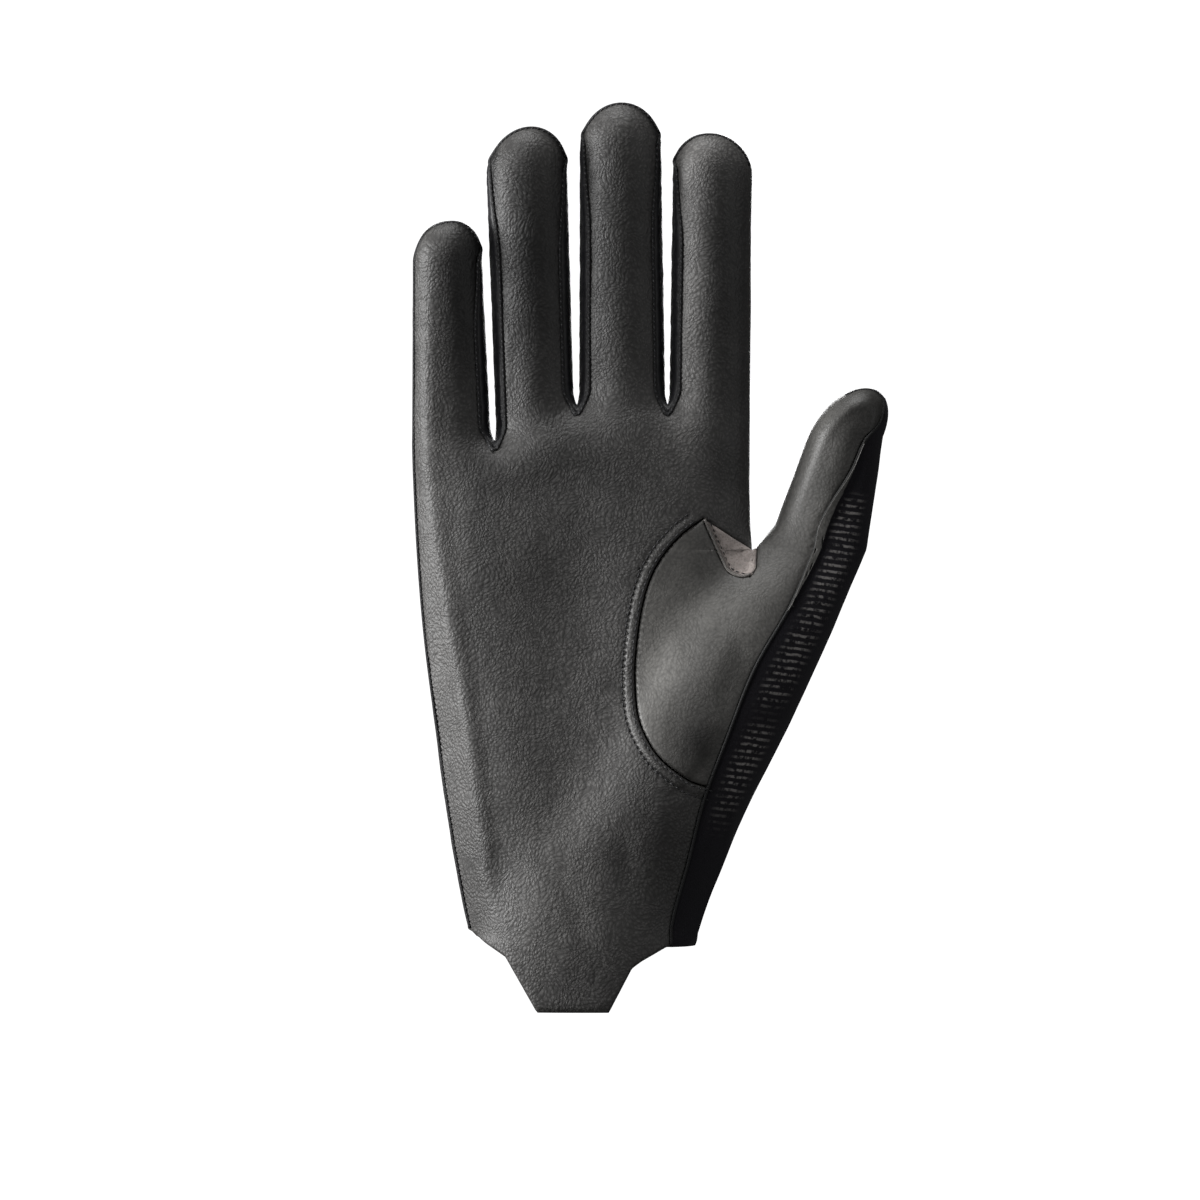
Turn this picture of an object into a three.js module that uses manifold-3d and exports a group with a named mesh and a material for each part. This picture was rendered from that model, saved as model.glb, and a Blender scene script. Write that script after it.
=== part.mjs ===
// A horse riding glove for the right hand, shown upright with the palm to the front.
// Millimetres, +Z up to the fingertips, palm towards -Y, thumb towards +X.
// The origin is the middle of the wrist opening.
import * as THREE from "three";
import { mergeVertices } from "three/addons/utils/BufferGeometryUtils.js";
import Module from "manifold-3d";

const { lerp, clamp, smoothstep, degToRad } = THREE.MathUtils;

// Driving sizes.
const PALM_BREADTH = 88; // across the knuckles
const PALM_HEIGHT = 130; // wrist opening to the roots of the fingers
const PALM_DEPTH = 30; // through the middle of the palm
const LITTLE_LENGTH = 57; // root line to tip
const RING_LENGTH = 81.4;
const MIDDLE_LENGTH = 87.6;
const INDEX_LENGTH = 79.6;
const THUMB_LENGTH = 42; // thumb crotch to tip
const LEATHER = 1.1; // palm leather wall
const FABRIC = 1; // stretch fabric wall
const SEAM_GAP = 0.3; // clearance along every seam
const FORK_DROP = 2.6; // how far the seams dip below the crotches of the fingers
const THUMB_FORK_DROP = 4.4; // the same behind the thumb crotch
const TAB_LENGTH = 18; // pull tab below the wrist opening
const FINGER_BOW = 4; // how far the fingertips lean towards the palm side
const FORK_STRIP = 2.4; // width of a fork strip that shows beside a finger
const FORK_STRIP_BACK = 3.2; // the same behind
const SIDE_WRAP = 3.2; // how far the leather turns round to the back where no strip shows
const WEB_ROUNDING = 8; // height over which the palm rounds in to the forks
const FINGER_FADE = 30; // height over which the fingers' forms sink into the palm
const BLEND = 7; // softness of the joins between thumb, fingers and palm
const BACK_HEM = 1.3; // how far the fabric reaches below the wrist opening
const SETBACK = 0.4; // inner edges stand back by this from the outer ones
const ROW_CLEARANCE = 0.9; // least spacing of the mesh's rows

// Fingers. x values are shares of the palm breadth from the wrist's middle line,
// depths are shares of the palm depth, and cap is the rounded end as a share of the breadth.
const DIGITS = [
  {
    name: "little", length: LITTLE_LENGTH, tipX: -0.402, cap: 0.118, topLeft: -0.505,
    topRight: -0.301, rootLeft: -0.508, rootRight: -0.275, front: 0.275, back: 0.275,
  },
  {
    name: "ring", length: RING_LENGTH, tipX: -0.154, cap: 0.136, topLeft: -0.288,
    topRight: -0.049, rootLeft: -0.259, rootRight: -0.027, front: 0.305, back: 0.3,
  },
  {
    name: "middle", length: MIDDLE_LENGTH, tipX: 0.111, cap: 0.13, topLeft: -0.012,
    topRight: 0.228, rootLeft: -0.015, rootRight: 0.242, front: 0.31, back: 0.31,
  },
  {
    name: "index", length: INDEX_LENGTH, tipX: 0.368, cap: 0.112, topLeft: 0.262,
    topRight: 0.495, rootLeft: 0.251, rootRight: 0.49, front: 0.305, back: 0.3,
  },
];
const THUMB = {
  name: "thumb", length: THUMB_LENGTH, tipX: 0.839, cap: 0.145, topLeft: 0.662,
  topRight: 0.883, rootLeft: 0.538, rootRight: 0.836, front: 0.36, back: 0.36,
};

// Where two fingers part: x share, height as a share of the palm height, and the height
// over which the gap above it opens, as a share of the palm height too.
const FORKS = [
  { between: "little and ring", x: -0.2644, height: 1.0, closing: 0.023 },
  { between: "ring and middle", x: -0.0207, height: 1.071, closing: 0.023 },
  { between: "middle and index", x: 0.2467, height: 1.071, closing: 0.023 },
];
const THUMB_FORK = { x: 0.4963, height: 0.7815, closing: 0.05 };
const THUMB_CROTCH = THUMB_FORK.height * PALM_HEIGHT;

// Sections of the hand: height share, the edges as shares of the breadth, depths of the depth.
const PALM_SECTIONS = [
  { height: 1.072, left: -0.508, right: 0.493, front: 0.36, back: 0.36 },
  { height: 0.978, left: -0.508, right: 0.49, front: 0.41, back: 0.4 },
  { height: 0.78, left: -0.495, right: 0.496, front: 0.47, back: 0.46 },
  { height: 0.6, left: -0.473, right: 0.532, front: 0.49, back: 0.49 },
  { height: 0.4, left: -0.434, right: 0.511, front: 0.51, back: 0.51 },
  { height: 0.2, left: -0.391, right: 0.437, front: 0.55, back: 0.56 },
  { height: 0.07, left: -0.356, right: 0.354, front: 0.6, back: 0.62 },
  { height: 0.01, left: -0.336, right: 0.334, front: 0.62, back: 0.64 },
];
const THUMB_SECTIONS = [
  { height: 0.782, left: 0.4963, right: 0.836, front: 0.37, back: 0.37 },
  { height: 0.736, left: 0.402, right: 0.807, front: 0.45, back: 0.38 },
  { height: 0.68, left: 0.313, right: 0.771, front: 0.54, back: 0.4 },
  { height: 0.6, left: 0.21, right: 0.721, front: 0.62, back: 0.42 },
  { height: 0.48, left: 0.092, right: 0.641, front: 0.66, back: 0.46 },
  { height: 0.4, left: 0.033, right: 0.585, front: 0.67, back: 0.49 },
  { height: 0.28, left: -0.071, right: 0.493, front: 0.66, back: 0.53 },
  { height: 0.16, left: -0.219, right: 0.417, front: 0.64, back: 0.58 },
  { height: 0.07, left: -0.307, right: 0.363, front: 0.62, back: 0.62 },
  { height: 0.01, left: -0.328, right: 0.334, front: 0.62, back: 0.64 },
];

// The seam between leather and fabric on the thumb side, measured in from the right edge.
const SIDE_SEAM = [
  { height: 1.03, inset: 0.03 },
  { height: 1.002, inset: 0.053 },
  { height: 0.934, inset: 0.083 },
  { height: 0.872, inset: 0.127 },
  { height: 0.82, inset: 0.154 },
  { height: 0.676, inset: 0.157 },
  { height: 0.552, inset: 0.183 },
  { height: 0.43, inset: 0.174 },
  { height: 0.302, inset: 0.148 },
  { height: 0.154, inset: 0.109 },
  { height: 0, inset: 0.082 },
];

// The seam that sets the thumb into the palm, from its apex round to the side seam.
const THUMB_SEAM = [
  { x: 0.352, height: 0.842 },
  { x: 0.287, height: 0.81 },
  { x: 0.228, height: 0.764 },
  { x: 0.189, height: 0.712 },
  { x: 0.165, height: 0.646 },
  { x: 0.151, height: 0.57 },
  { x: 0.148, height: 0.518 },
  { x: 0.154, height: 0.458 },
  { x: 0.174, height: 0.416 },
  { x: 0.214, height: 0.372 },
  { x: 0.272, height: 0.338 },
  { x: 0.334, height: 0.314 },
  { x: 0.43, height: 0.3 },
];
// The gusset in the crotch of the thumb: its upper seam, its lower one and the one on its left.
const GUSSET_TOP = [
  { x: 0.352, height: 0.842 },
  { x: 0.512, height: 0.775 },
];
const GUSSET_FOOT = [
  { x: 0.42, height: 0.73 },
  { x: 0.496, height: 0.736 },
  { x: 0.54, height: 0.775 },
  { x: 0.546, height: 0.8 },
  { x: 0.52, height: 0.86 },
];
const GUSSET_SIDE = [
  { x: 0.345, height: 0.856 },
  { x: 0.4255, height: 0.7295 },
];

// Lower edge of the leather: height as a share of the tab's length below the opening.
const HEM = [
  { x: -0.35, height: 0.17 },
  { x: -0.328, height: 0.12 },
  { x: -0.29, height: -0.03 },
  { x: -0.233, height: -0.21 },
  { x: -0.139, height: -1 },
  { x: 0.074, height: -1 },
  { x: 0.142, height: -0.37 },
  { x: 0.171, height: -0.27 },
  { x: 0.245, height: -0.07 },
  { x: 0.4, height: -0.07 },
];

// Hollows (positive) and rises (negative) of the palm side: centre, half sizes and depth.
const DENTS = [
  { name: "cup of the palm", x: -0.03, height: 0.66, wide: 0.22, tall: 0.3, depth: 0.09 },
  { name: "crease below the fingers", x: -0.08, height: 0.9, wide: 0.3, tall: 0.035, depth: 0.035 },
  { name: "heel of the hand", x: -0.27, height: 0.35, wide: 0.16, tall: 0.25, depth: -0.05 },
  { name: "fold at the base of the thumb", x: 0.3, height: 0.44, wide: 0.06, tall: 0.07, depth: 0.04 },
  { name: "dip above the wrist", x: 0.06, height: 0.14, wide: 0.2, tall: 0.07, depth: 0.04 },
];

// Heights of the rows of the mesh, as shares of the palm height.
const ROWS = [
  0.03, 0.09, 0.15, 0.21, 0.27, 0.33, 0.39, 0.45, 0.51, 0.57, 0.63, 0.685, 0.73, 0.765, 0.8, 0.825,
  0.86, 0.9, 0.94, 0.995, 1.02, 1.065, 1.08, 1.11, 1.16, 1.22, 1.29, 1.36, 1.43,
];
const CAP_TURNS = [16, 34, 52, 70]; // rows round the end of a finger, in degrees
const FINGER_SPANS = { front: 5, back: 4 };
const THUMB_SPANS = { front: 6, back: 5 };
const WRAP_SPANS = 3;
const TAB_SPANS = 4;

// Smooth reading of a table of sections at a height, by a cubic through its rows.
function section(table, height, column) {
  const rows = table.length;
  const falling = table[0].height > table[rows - 1].height;
  const at = (i) => table[falling ? rows - 1 - i : i];
  if (height <= at(0).height) return at(0)[column];
  if (height >= at(rows - 1).height) return at(rows - 1)[column];
  let i = 0;
  while (at(i + 1).height < height) i++;
  const slope = (j) => {
    const a = at(Math.max(j - 1, 0));
    const b = at(Math.min(j + 1, rows - 1));
    return (b[column] - a[column]) / (b.height - a.height);
  };
  const step = at(i + 1).height - at(i).height;
  const t = (height - at(i).height) / step;
  const t2 = t * t;
  const t3 = t2 * t;
  return (
    (2 * t3 - 3 * t2 + 1) * at(i)[column] +
    (t3 - 2 * t2 + t) * step * slope(i) +
    (3 * t2 - 2 * t3) * at(i + 1)[column] +
    (t3 - t2) * step * slope(i + 1)
  );
}

const along = (table, x, column) => {
  let i = 0;
  while (i < table.length - 2 && table[i + 1].x < x) i++;
  const t = clamp((x - table[i].x) / (table[i + 1].x - table[i].x), 0, 1);
  return lerp(table[i][column], table[i + 1][column], t);
};

const palmLeft = (z) => PALM_BREADTH * section(PALM_SECTIONS, z / PALM_HEIGHT, "left");
const palmRight = (z) => PALM_BREADTH * section(PALM_SECTIONS, z / PALM_HEIGHT, "right");
const thumbRight = (z) => PALM_BREADTH * section(THUMB_SECTIONS, z / PALM_HEIGHT, "right");

// The side seam between the leather and the fabric, on the thumb side of the palm face.
const LOW_ROW = ROWS[0] * PALM_HEIGHT;
const sideInset = (z) => PALM_BREADTH * section(SIDE_SEAM, z / PALM_HEIGHT, "inset");
// Right edge of each side's panels from the thumb crotch down: the side seam or the outline.
const lowRight = {
  front: (z) => thumbRight(Math.max(z, LOW_ROW)) - sideInset(Math.max(z, LOW_ROW)),
  back: thumbRight,
};

// A fork: its height, how far its seams dip, and the line that carries it on down the hand,
// which keeps the same share of the hand's breadth.
function makeFork({ x, height, closing }, drop, backDrop) {
  const z = height * PALM_HEIGHT;
  const inPalm = z > THUMB_CROTCH;
  const left = palmLeft(z);
  const share = (x * PALM_BREADTH - left) / (palmRight(z) - left);
  const line = (at, side) => {
    const low = Math.min(at, z);
    if (!inPalm) return crotchLine(low, side);
    const right = low > THUMB_CROTCH ? palmRight(low) : crotchLine(low, side);
    return lerp(palmLeft(low), right, share);
  };
  const seam = { front: z - drop, back: z - backDrop };
  return { z, closing: closing * PALM_HEIGHT, line, seam };
}
// The line down from the thumb crotch on the front or the back.
function crotchLine(z, side) {
  const x = THUMB_FORK.x * PALM_BREADTH;
  const left = palmLeft(THUMB_CROTCH);
  const share = (x - left) / (lowRight[side](THUMB_CROTCH) - left);
  return lerp(palmLeft(z), lowRight[side](z), share);
}
const forks = FORKS.map((row) => makeFork(row, FORK_DROP, FORK_DROP));
const thumbFork = makeFork(THUMB_FORK, 0, THUMB_FORK_DROP);

// A finger or the thumb: a tube with a rounded end, whose edges close up towards its forks.
function makeDigit(row, rootZ, leftFork, rightFork) {
  const cap = row.cap * PALM_BREADTH;
  const tip = rootZ + row.length;
  const base = tip - cap;
  const closed = (fork, z) => Math.sqrt(clamp((z - fork.z) / fork.closing, 0, 1));
  const edges = (z) => {
    const s = clamp((z - rootZ) / (base - rootZ), -0.3, 1);
    let left = PALM_BREADTH * lerp(row.rootLeft, row.topLeft, s);
    let right = PALM_BREADTH * lerp(row.rootRight, row.topRight, s);
    if (leftFork) left = lerp(leftFork.line(z, "front"), left, closed(leftFork, z));
    if (rightFork) right = lerp(rightFork.line(z, "front"), right, closed(rightFork, z));
    return { left, right };
  };
  const top = edges(base);
  const shift = row.tipX * PALM_BREADTH - (top.left + top.right) / 2;
  const shape = (z) => {
    const k = clamp((z - base) / cap, 0, 1);
    const round = Math.sqrt(1 - k * k);
    const { left, right } = edges(Math.min(z, base));
    const rise = clamp((z - rootZ) / (tip - rootZ), 0, 1);
    const fade = smoothstep(z, rootZ - FINGER_FADE, rootZ);
    return {
      x: (left + right) / 2 + shift * k,
      half: ((right - left) / 2) * round,
      y: -FINGER_BOW * rise * rise,
      front: row.front * PALM_DEPTH * round * fade,
      back: row.back * PALM_DEPTH * round * fade,
      power: 2,
    };
  };
  return { name: row.name, base, cap, tip, shape, leftFork, rightFork };
}
const digits = DIGITS.map((row, i) => makeDigit(row, PALM_HEIGHT, forks[i - 1], forks[i]));
const thumb = makeDigit(THUMB, THUMB_CROTCH, thumbFork, undefined);
const index = digits[3];
index.wrapFork = thumbFork;

// A section of the hand at a height, from its table.
function handShape(table, z, power) {
  const read = (column) => section(table, z / PALM_HEIGHT, column);
  const [left, right] = [PALM_BREADTH * read("left"), PALM_BREADTH * read("right")];
  return {
    x: (left + right) / 2,
    half: (right - left) / 2,
    y: 0,
    front: PALM_DEPTH * read("front"),
    back: PALM_DEPTH * read("back"),
    power,
  };
}
const palmShape = (z) => handShape(PALM_SECTIONS, z, 2.4);
const ballShape = (z) => handShape(THUMB_SECTIONS, z, 2.1);

// The hand ends between the fingers in a rounded edge along the line of the forks.
function webRound(x, z) {
  const top = along(forks.map((f) => ({ x: f.line(f.z, "front"), z: f.z })), x, "z");
  const k = clamp((z - (top - WEB_ROUNDING)) / WEB_ROUNDING, 0, 1);
  return Math.sqrt(1 - k * k);
}

// Depth of the glove in front of or behind the middle plane: its parts, smoothly joined.
function depthAt(x, z, side) {
  const sign = side === "front" ? -1 : 1;
  const found = [];
  const add = (shape, scale) => {
    const s = Math.abs(x - shape.x) / Math.max(shape.half, 1e-6);
    if (s >= 1) return;
    if (scale <= 0) return;
    const rise = shape[side] * scale * (1 - s ** shape.power) ** (1 / shape.power);
    found.push({ rise, y: sign * shape.y + rise });
  };
  for (const digit of digits.filter((d) => z < d.tip)) add(digit.shape(z), 1);
  if (z < thumb.tip) add(z > thumbFork.z ? thumb.shape(z) : ballShape(z), 1);
  add(palmShape(z), webRound(x, z));
  if (!found.length) return null;
  found.sort((a, b) => b.y - a.y);
  const total = found.slice(1).reduce((sum, next) => {
    const blend = Math.max(BLEND * clamp(Math.min(sum.rise, next.rise) / BLEND, 0, 1), 1e-6);
    const close = Math.max(blend - Math.abs(sum.y - next.y), 0);
    return { rise: sum.rise, y: sum.y + (close * close) / (4 * blend) };
  }, found[0]);
  if (side === "back") return total.y;
  const dents = DENTS.map((dent) => {
    const u = (x / PALM_BREADTH - dent.x) / dent.wide;
    const v = (z / PALM_HEIGHT - dent.height) / dent.tall;
    return dent.depth * PALM_DEPTH * Math.exp(-2 * (u * u + v * v));
  });
  const dent = dents.reduce((a, b) => a + b, 0);
  return total.y - dent * clamp(total.rise / BLEND, 0, 1);
}
function surface(x, z, side, middle = 0) {
  const depth = depthAt(x, z, side);
  if (depth === null) return new THREE.Vector3(x, middle, z);
  return new THREE.Vector3(x, side === "front" ? -depth : depth, z);
}

// Open surfaces are gathered as grids of points, welded where they meet, then given a wall.
class Sheet {
  points = [];
  keys = new Map();
  faces = [];
  add(point) {
    const key = point.toArray().map((v) => Math.round(v * 2000)).join();
    if (!this.keys.has(key)) this.keys.set(key, this.points.push(point) - 1);
    return this.keys.get(key);
  }
  // Rows run upward, and the points of a row run from left to right seen from outside.
  grid(rows) {
    const ids = rows.map((row) => row.map((p) => this.add(p)));
    for (let i = 0; i + 1 < ids.length; i++) {
      for (let j = 0; j + 1 < ids[i].length; j++) {
        const [a, b, c, d] = [ids[i][j], ids[i][j + 1], ids[i + 1][j + 1], ids[i + 1][j]];
        for (const face of [[a, b, c], [a, c, d]]) {
          if (new Set(face).size === 3) this.faces.push(face);
        }
      }
    }
  }
  // The edges of the inner side stand back a little, so that neighbouring walls stay apart.
  thicken(wall) {
    const { points, faces } = this;
    const normals = points.map(() => new THREE.Vector3());
    const inward = points.map(() => new THREE.Vector3());
    const open = new Map();
    for (const face of faces) {
      const [a, b, c] = face.map((i) => points[i]);
      const normal = b.clone().sub(a).cross(c.clone().sub(a));
      const middle = a.clone().add(b).add(c).divideScalar(3);
      face.forEach((i, k) => {
        normals[i].add(normal);
        const next = face[(k + 1) % 3];
        if (!open.delete(next + "," + i)) open.set(i + "," + next, { i, next, middle });
      });
    }
    normals.forEach((normal) => normal.normalize());
    for (const { i, next, middle } of open.values()) {
      const edge = points[next].clone().sub(points[i]).normalize();
      const into = middle.clone().sub(points[i]);
      into.addScaledVector(edge, -into.dot(edge)).normalize();
      inward[i].add(into);
      inward[next].add(into);
    }
    const inner = points.map((p, i) =>
      p.clone().addScaledVector(normals[i], -wall).addScaledVector(inward[i].normalize(), SETBACK),
    );
    const n = points.length;
    const index = faces.flatMap(([a, b, c]) => [a, b, c, a + n, c + n, b + n]);
    for (const { i, next } of open.values()) index.push(next, i, i + n, next, i + n, next + n);
    const geometry = new THREE.BufferGeometry();
    const flat = [...points, ...inner].flatMap((p) => p.toArray());
    geometry.setAttribute("position", new THREE.Float32BufferAttribute(flat, 3));
    geometry.setIndex(index);
    return geometry;
  }
}

// How much of a side strip is left at a height: it narrows to a point above the cap's base.
const STRIP_END = 0.4; // share of a strip's width that is left at the base of the cap
const capStart = (digit) => digit.base + digit.cap * Math.sin(degToRad(CAP_TURNS[0]));
function pastBase(digit, z) {
  return clamp((z - digit.base) / (capStart(digit) - digit.base), 0, 1);
}
function taper(digit, z) {
  if (z > digit.base) return STRIP_END * (1 - pastBase(digit, z));
  return 1 - (1 - STRIP_END) * smoothstep(z, digit.base - 2 * digit.cap, digit.base);
}

// The side seam, up the hand and on up the thumb, where it runs out to the outline at the tip.
function sideSeam(z) {
  if (z <= thumbFork.z) return lowRight.front(z);
  const { x, half } = thumb.shape(z);
  return x + half - sideInset(z) * (1 - pastBase(thumb, z));
}

// The outline of a digit's stretch of the glove at a height, and whether each side is free there.
function stretch(digit, z, side) {
  const shape = digit.shape(z);
  const [left, right] = [shape.x - shape.half, shape.x + shape.half];
  const low = (fork) => z <= fork.z;
  const crotch = crotchLine(z, side);
  if (digit === thumb) {
    if (!low(thumbFork)) return { left, right, y: shape.y };
    return { left: crotch, right: thumbRight(z), y: 0 };
  }
  const inHand = z <= PALM_HEIGHT;
  const edgeAt = (fork, own, ofHand) => {
    if (fork) return low(fork) ? fork.line(z, side) : own;
    return inHand ? ofHand : own;
  };
  return {
    left: edgeAt(digit.leftFork, left, palmLeft(z)),
    right: edgeAt(digit.rightFork, right, low(thumbFork) ? crotch : palmRight(z)),
    y: shape.y,
  };
}

// How wide a strip shows beside a fork on a side.
function stripWidth(fork, side) {
  if (side === "front") return FORK_STRIP;
  return fork === thumbFork ? SIDE_WRAP : FORK_STRIP_BACK;
}

// Where the seam beside a fork runs at a height; "clear" holds a piece off the seam line.
function forkSeam(digit, z, fork, sign, side, clear) {
  const low = fork.seam[side] - clear;
  const flat = stretch(digit, z, side);
  const edge = sign < 0 ? flat.left : flat.right;
  if (z <= low + 1e-9) return fork.line(low, side);
  const rise = Math.sqrt(clamp((z - low) / (fork.z - low + fork.closing), 0, 1));
  const inner = edge - sign * (stripWidth(fork, side) * taper(digit, z) + clear);
  return lerp(fork.line(z, side), inner, rise);
}

const HALF_GAP = SEAM_GAP / 2;

// Where a panel of the thumb ends on its outer side.
function thumbEnd(z, flat, side) {
  const off = side === "front" ? -HALF_GAP : HALF_GAP;
  const hasStrip = thumbStrip(z) > 0.01;
  if (side === "front" && hasStrip) return { x: sideSeam(z) - HALF_GAP };
  return { x: flat.right, y: flat.y + (hasStrip ? 0 : off) };
}

// Where a digit's panel ends on one side at a height; y is given where it ends on the outline.
function panelEnd(digit, z, flat, side, sign) {
  const front = side === "front";
  const off = front ? -HALF_GAP : HALF_GAP;
  const outer = digit.rightFork ?? (digit === index ? thumbFork : undefined);
  const fork = sign < 0 ? digit.leftFork : outer;
  const edge = sign < 0 ? flat.left : flat.right;
  if (digit === thumb && sign > 0) return thumbEnd(z, flat, side);
  if (!fork) return { x: edge, y: flat.y + off };
  if (fork === thumbFork && front) {
    if (z <= fork.z - 1e-9) return { x: crotchLine(z, side) };
    return { x: edge, y: flat.y + (z <= digit.base + 1e-9 ? 0 : off) };
  }
  if (z <= fork.seam[side] - HALF_GAP + 1e-9) {
    return { x: fork === thumbFork ? edge : fork.line(z, side) };
  }
  if (taper(digit, z) <= 0) return { x: edge, y: flat.y + off };
  return { x: forkSeam(digit, z, fork, sign, side, HALF_GAP) };
}

// Points across a digit's stretch of a panel, from its left seam to its right one.
function panelRow(digit, z, side, spans, at = z) {
  const flat = stretch(digit, z, side);
  const middle = (flat.left + flat.right) / 2;
  const half = (flat.right - flat.left) / 2;
  const end = (sign) => panelEnd(digit, z, flat, side, sign);
  const [a, b] = [end(-1), end(1)];
  const turn = (x) => Math.asin(clamp((x - middle) / half, -1, 1));
  const rootZ = digit === thumb ? thumbFork.z : PALM_HEIGHT;
  const round = smoothstep(z, rootZ - FINGER_FADE, rootZ);
  const leftEdge = a.y !== undefined;
  const rightEdge = b.y !== undefined;
  const row = [];
  const pointAt = ({ x, y }) => {
    return y === undefined ? surface(x, at, side, flat.y) : new THREE.Vector3(x, y, at);
  };
  row.push(pointAt(a));
  for (let k = 1; k < spans; k++) {
    const u = k / spans;
    let share = u;
    if (leftEdge && !rightEdge) share = 1 - Math.cos((u * Math.PI) / 2);
    if (rightEdge && !leftEdge) share = Math.sin((u * Math.PI) / 2);
    const even = lerp(a.x, b.x, share);
    const turned = middle + half * Math.sin(lerp(turn(a.x), turn(b.x), u));
    row.push(pointAt({ x: lerp(even, turned, round) }));
  }
  row.push(pointAt(b));
  return row;
}

// How much of the fabric strip shows beside the side seam at a height.
function thumbStrip(z) {
  const { x, half } = thumb.shape(z);
  return (z > thumbFork.z ? x + half : thumbRight(z)) - sideSeam(z);
}

// The last row of a cap follows the outline of the tip.
function outlineRow(digit, row, side) {
  const top = digit.shape(digit.base);
  const tipShape = digit.shape(digit.tip - 1e-6);
  const shift = tipShape.x - top.x;
  const first = Math.sin(degToRad(CAP_TURNS.at(-1)));
  return row.map((p) => {
    let [low, high] = [first, 1];
    for (let step = 0; step < 30; step++) {
      const k = (low + high) / 2;
      const inside = top.half * Math.sqrt(1 - k * k) > Math.abs(p.x - top.x - shift * k);
      if (inside) low = k;
      else high = k;
    }
    const y = tipShape.y + (side === "front" ? -HALF_GAP : HALF_GAP);
    return new THREE.Vector3(p.x, y, digit.base + digit.cap * low);
  });
}

const rowHeights = ROWS.map((share) => share * PALM_HEIGHT);
function capHeights(digit) {
  return CAP_TURNS.map((turn) => digit.base + digit.cap * Math.sin(degToRad(turn)));
}
// Heights of a digit's rows on a panel: the common ones, those of the forks and its own cap.
function heightsOf(digit, side) {
  const marks = [...forks, thumbFork].map((fork) => {
    return side === "front" && fork === thumbFork ? fork.z : fork.seam[side] - HALF_GAP;
  });
  const clearOf = (z) => marks.every((mark) => Math.abs(mark - z) > ROW_CLEARANCE);
  const common = [...rowHeights.filter(clearOf), ...new Set(marks)].sort((a, b) => a - b);
  const below = common.filter((z) => z < digit.base - 1.7 * ROW_CLEARANCE);
  return [...below, digit.base, ...capHeights(digit)];
}

// The palm leather, the finger fronts and the leather of the thumb, before the thumb is cut out.
function makeFace() {
  const sheet = new Sheet();
  for (const digit of [...digits, thumb]) {
    const spans = (digit === thumb ? THUMB_SPANS : FINGER_SPANS).front;
    const heights = heightsOf(digit, "front");
    const first = panelRow(digit, heights[0], "front", spans);
    const tab = [];
    for (let k = 0; k < TAB_SPANS; k++) {
      tab.push(
        first.map((p, i) => {
          const foot = TAB_LENGTH * along(HEM, p.x / PALM_BREADTH, "height");
          const z = lerp(foot, heights[0], k / TAB_SPANS);
          if (digit === digits[0] && i === 0) return new THREE.Vector3(p.x, p.y, z);
          return new THREE.Vector3(p.x, surface(p.x, Math.max(z, 0), "front").y, z);
        }),
      );
    }
    const rows = heights.map((z) => panelRow(digit, z, "front", spans));
    sheet.grid([...tab, ...rows, outlineRow(digit, rows.at(-1), "front")]);
  }
  sheet.grid(stripRows(index, thumbFork, 1));
  sheet.grid(stripRows(thumb, thumbFork, -1));
  return sheet.thicken(LEATHER);
}

// Rows of a strip round the side of a digit, from the front seam to the back one.
// A strip of the thumb fork starts at the outline, where it is one with the palm leather.
function stripRows(digit, fork, sign) {
  const wrap = fork === thumbFork;
  const bottom = wrap ? fork.z : fork.seam.front + HALF_GAP;
  const backLow = fork.seam.back + HALF_GAP;
  const free = fork.z + 2 * fork.closing;
  const inStrip = (z) => z > bottom + 0.9 * ROW_CLEARANCE && z < digit.base - 1e-6;
  const marks = heightsOf(digit, "front").filter(inStrip);
  const last = wrap ? [digit.base] : [digit.base, lerp(digit.base, capStart(digit), 0.4)];
  const squeeze = (z, to) => (z < free ? lerp(to, free, (z - bottom) / (free - bottom)) : z);
  const spans = WRAP_SPANS - (wrap ? 0 : 1);
  return [bottom, ...marks, ...last].map((z) => {
    const atFork = z === bottom;
    const ridge = squeeze(z, fork.z);
    const flat = stretch(digit, Math.max(ridge, fork.z + 1e-9), "front");
    const edge = sign < 0 ? flat.left : flat.right;
    const top = new THREE.Vector3(
      atFork ? fork.line(fork.z, "front") : edge,
      atFork ? 0 : flat.y,
      ridge,
    );
    const half = (side, low) => {
      const seam = atFork ? fork.line(low, side) : forkSeam(digit, low, fork, sign, side, -HALF_GAP);
      const points = [];
      for (let k = 1; k <= spans; k++) {
        const v = (k / spans) ** 2;
        points.push(surface(lerp(top.x, seam, v), lerp(ridge, low, v), side, top.y));
      }
      return points;
    };
    const back = half("back", squeeze(z, backLow));
    const row = wrap ? [top, ...back] : [...half("front", z).reverse(), top, ...back];
    return sign > 0 ? row : row.reverse();
  });
}

function makeForkStrip(fork, leftDigit, rightDigit) {
  const sheet = new Sheet();
  sheet.grid(stripRows(leftDigit, fork, 1));
  sheet.grid(stripRows(rightDigit, fork, -1));
  return sheet.thicken(LEATHER);
}

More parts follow.
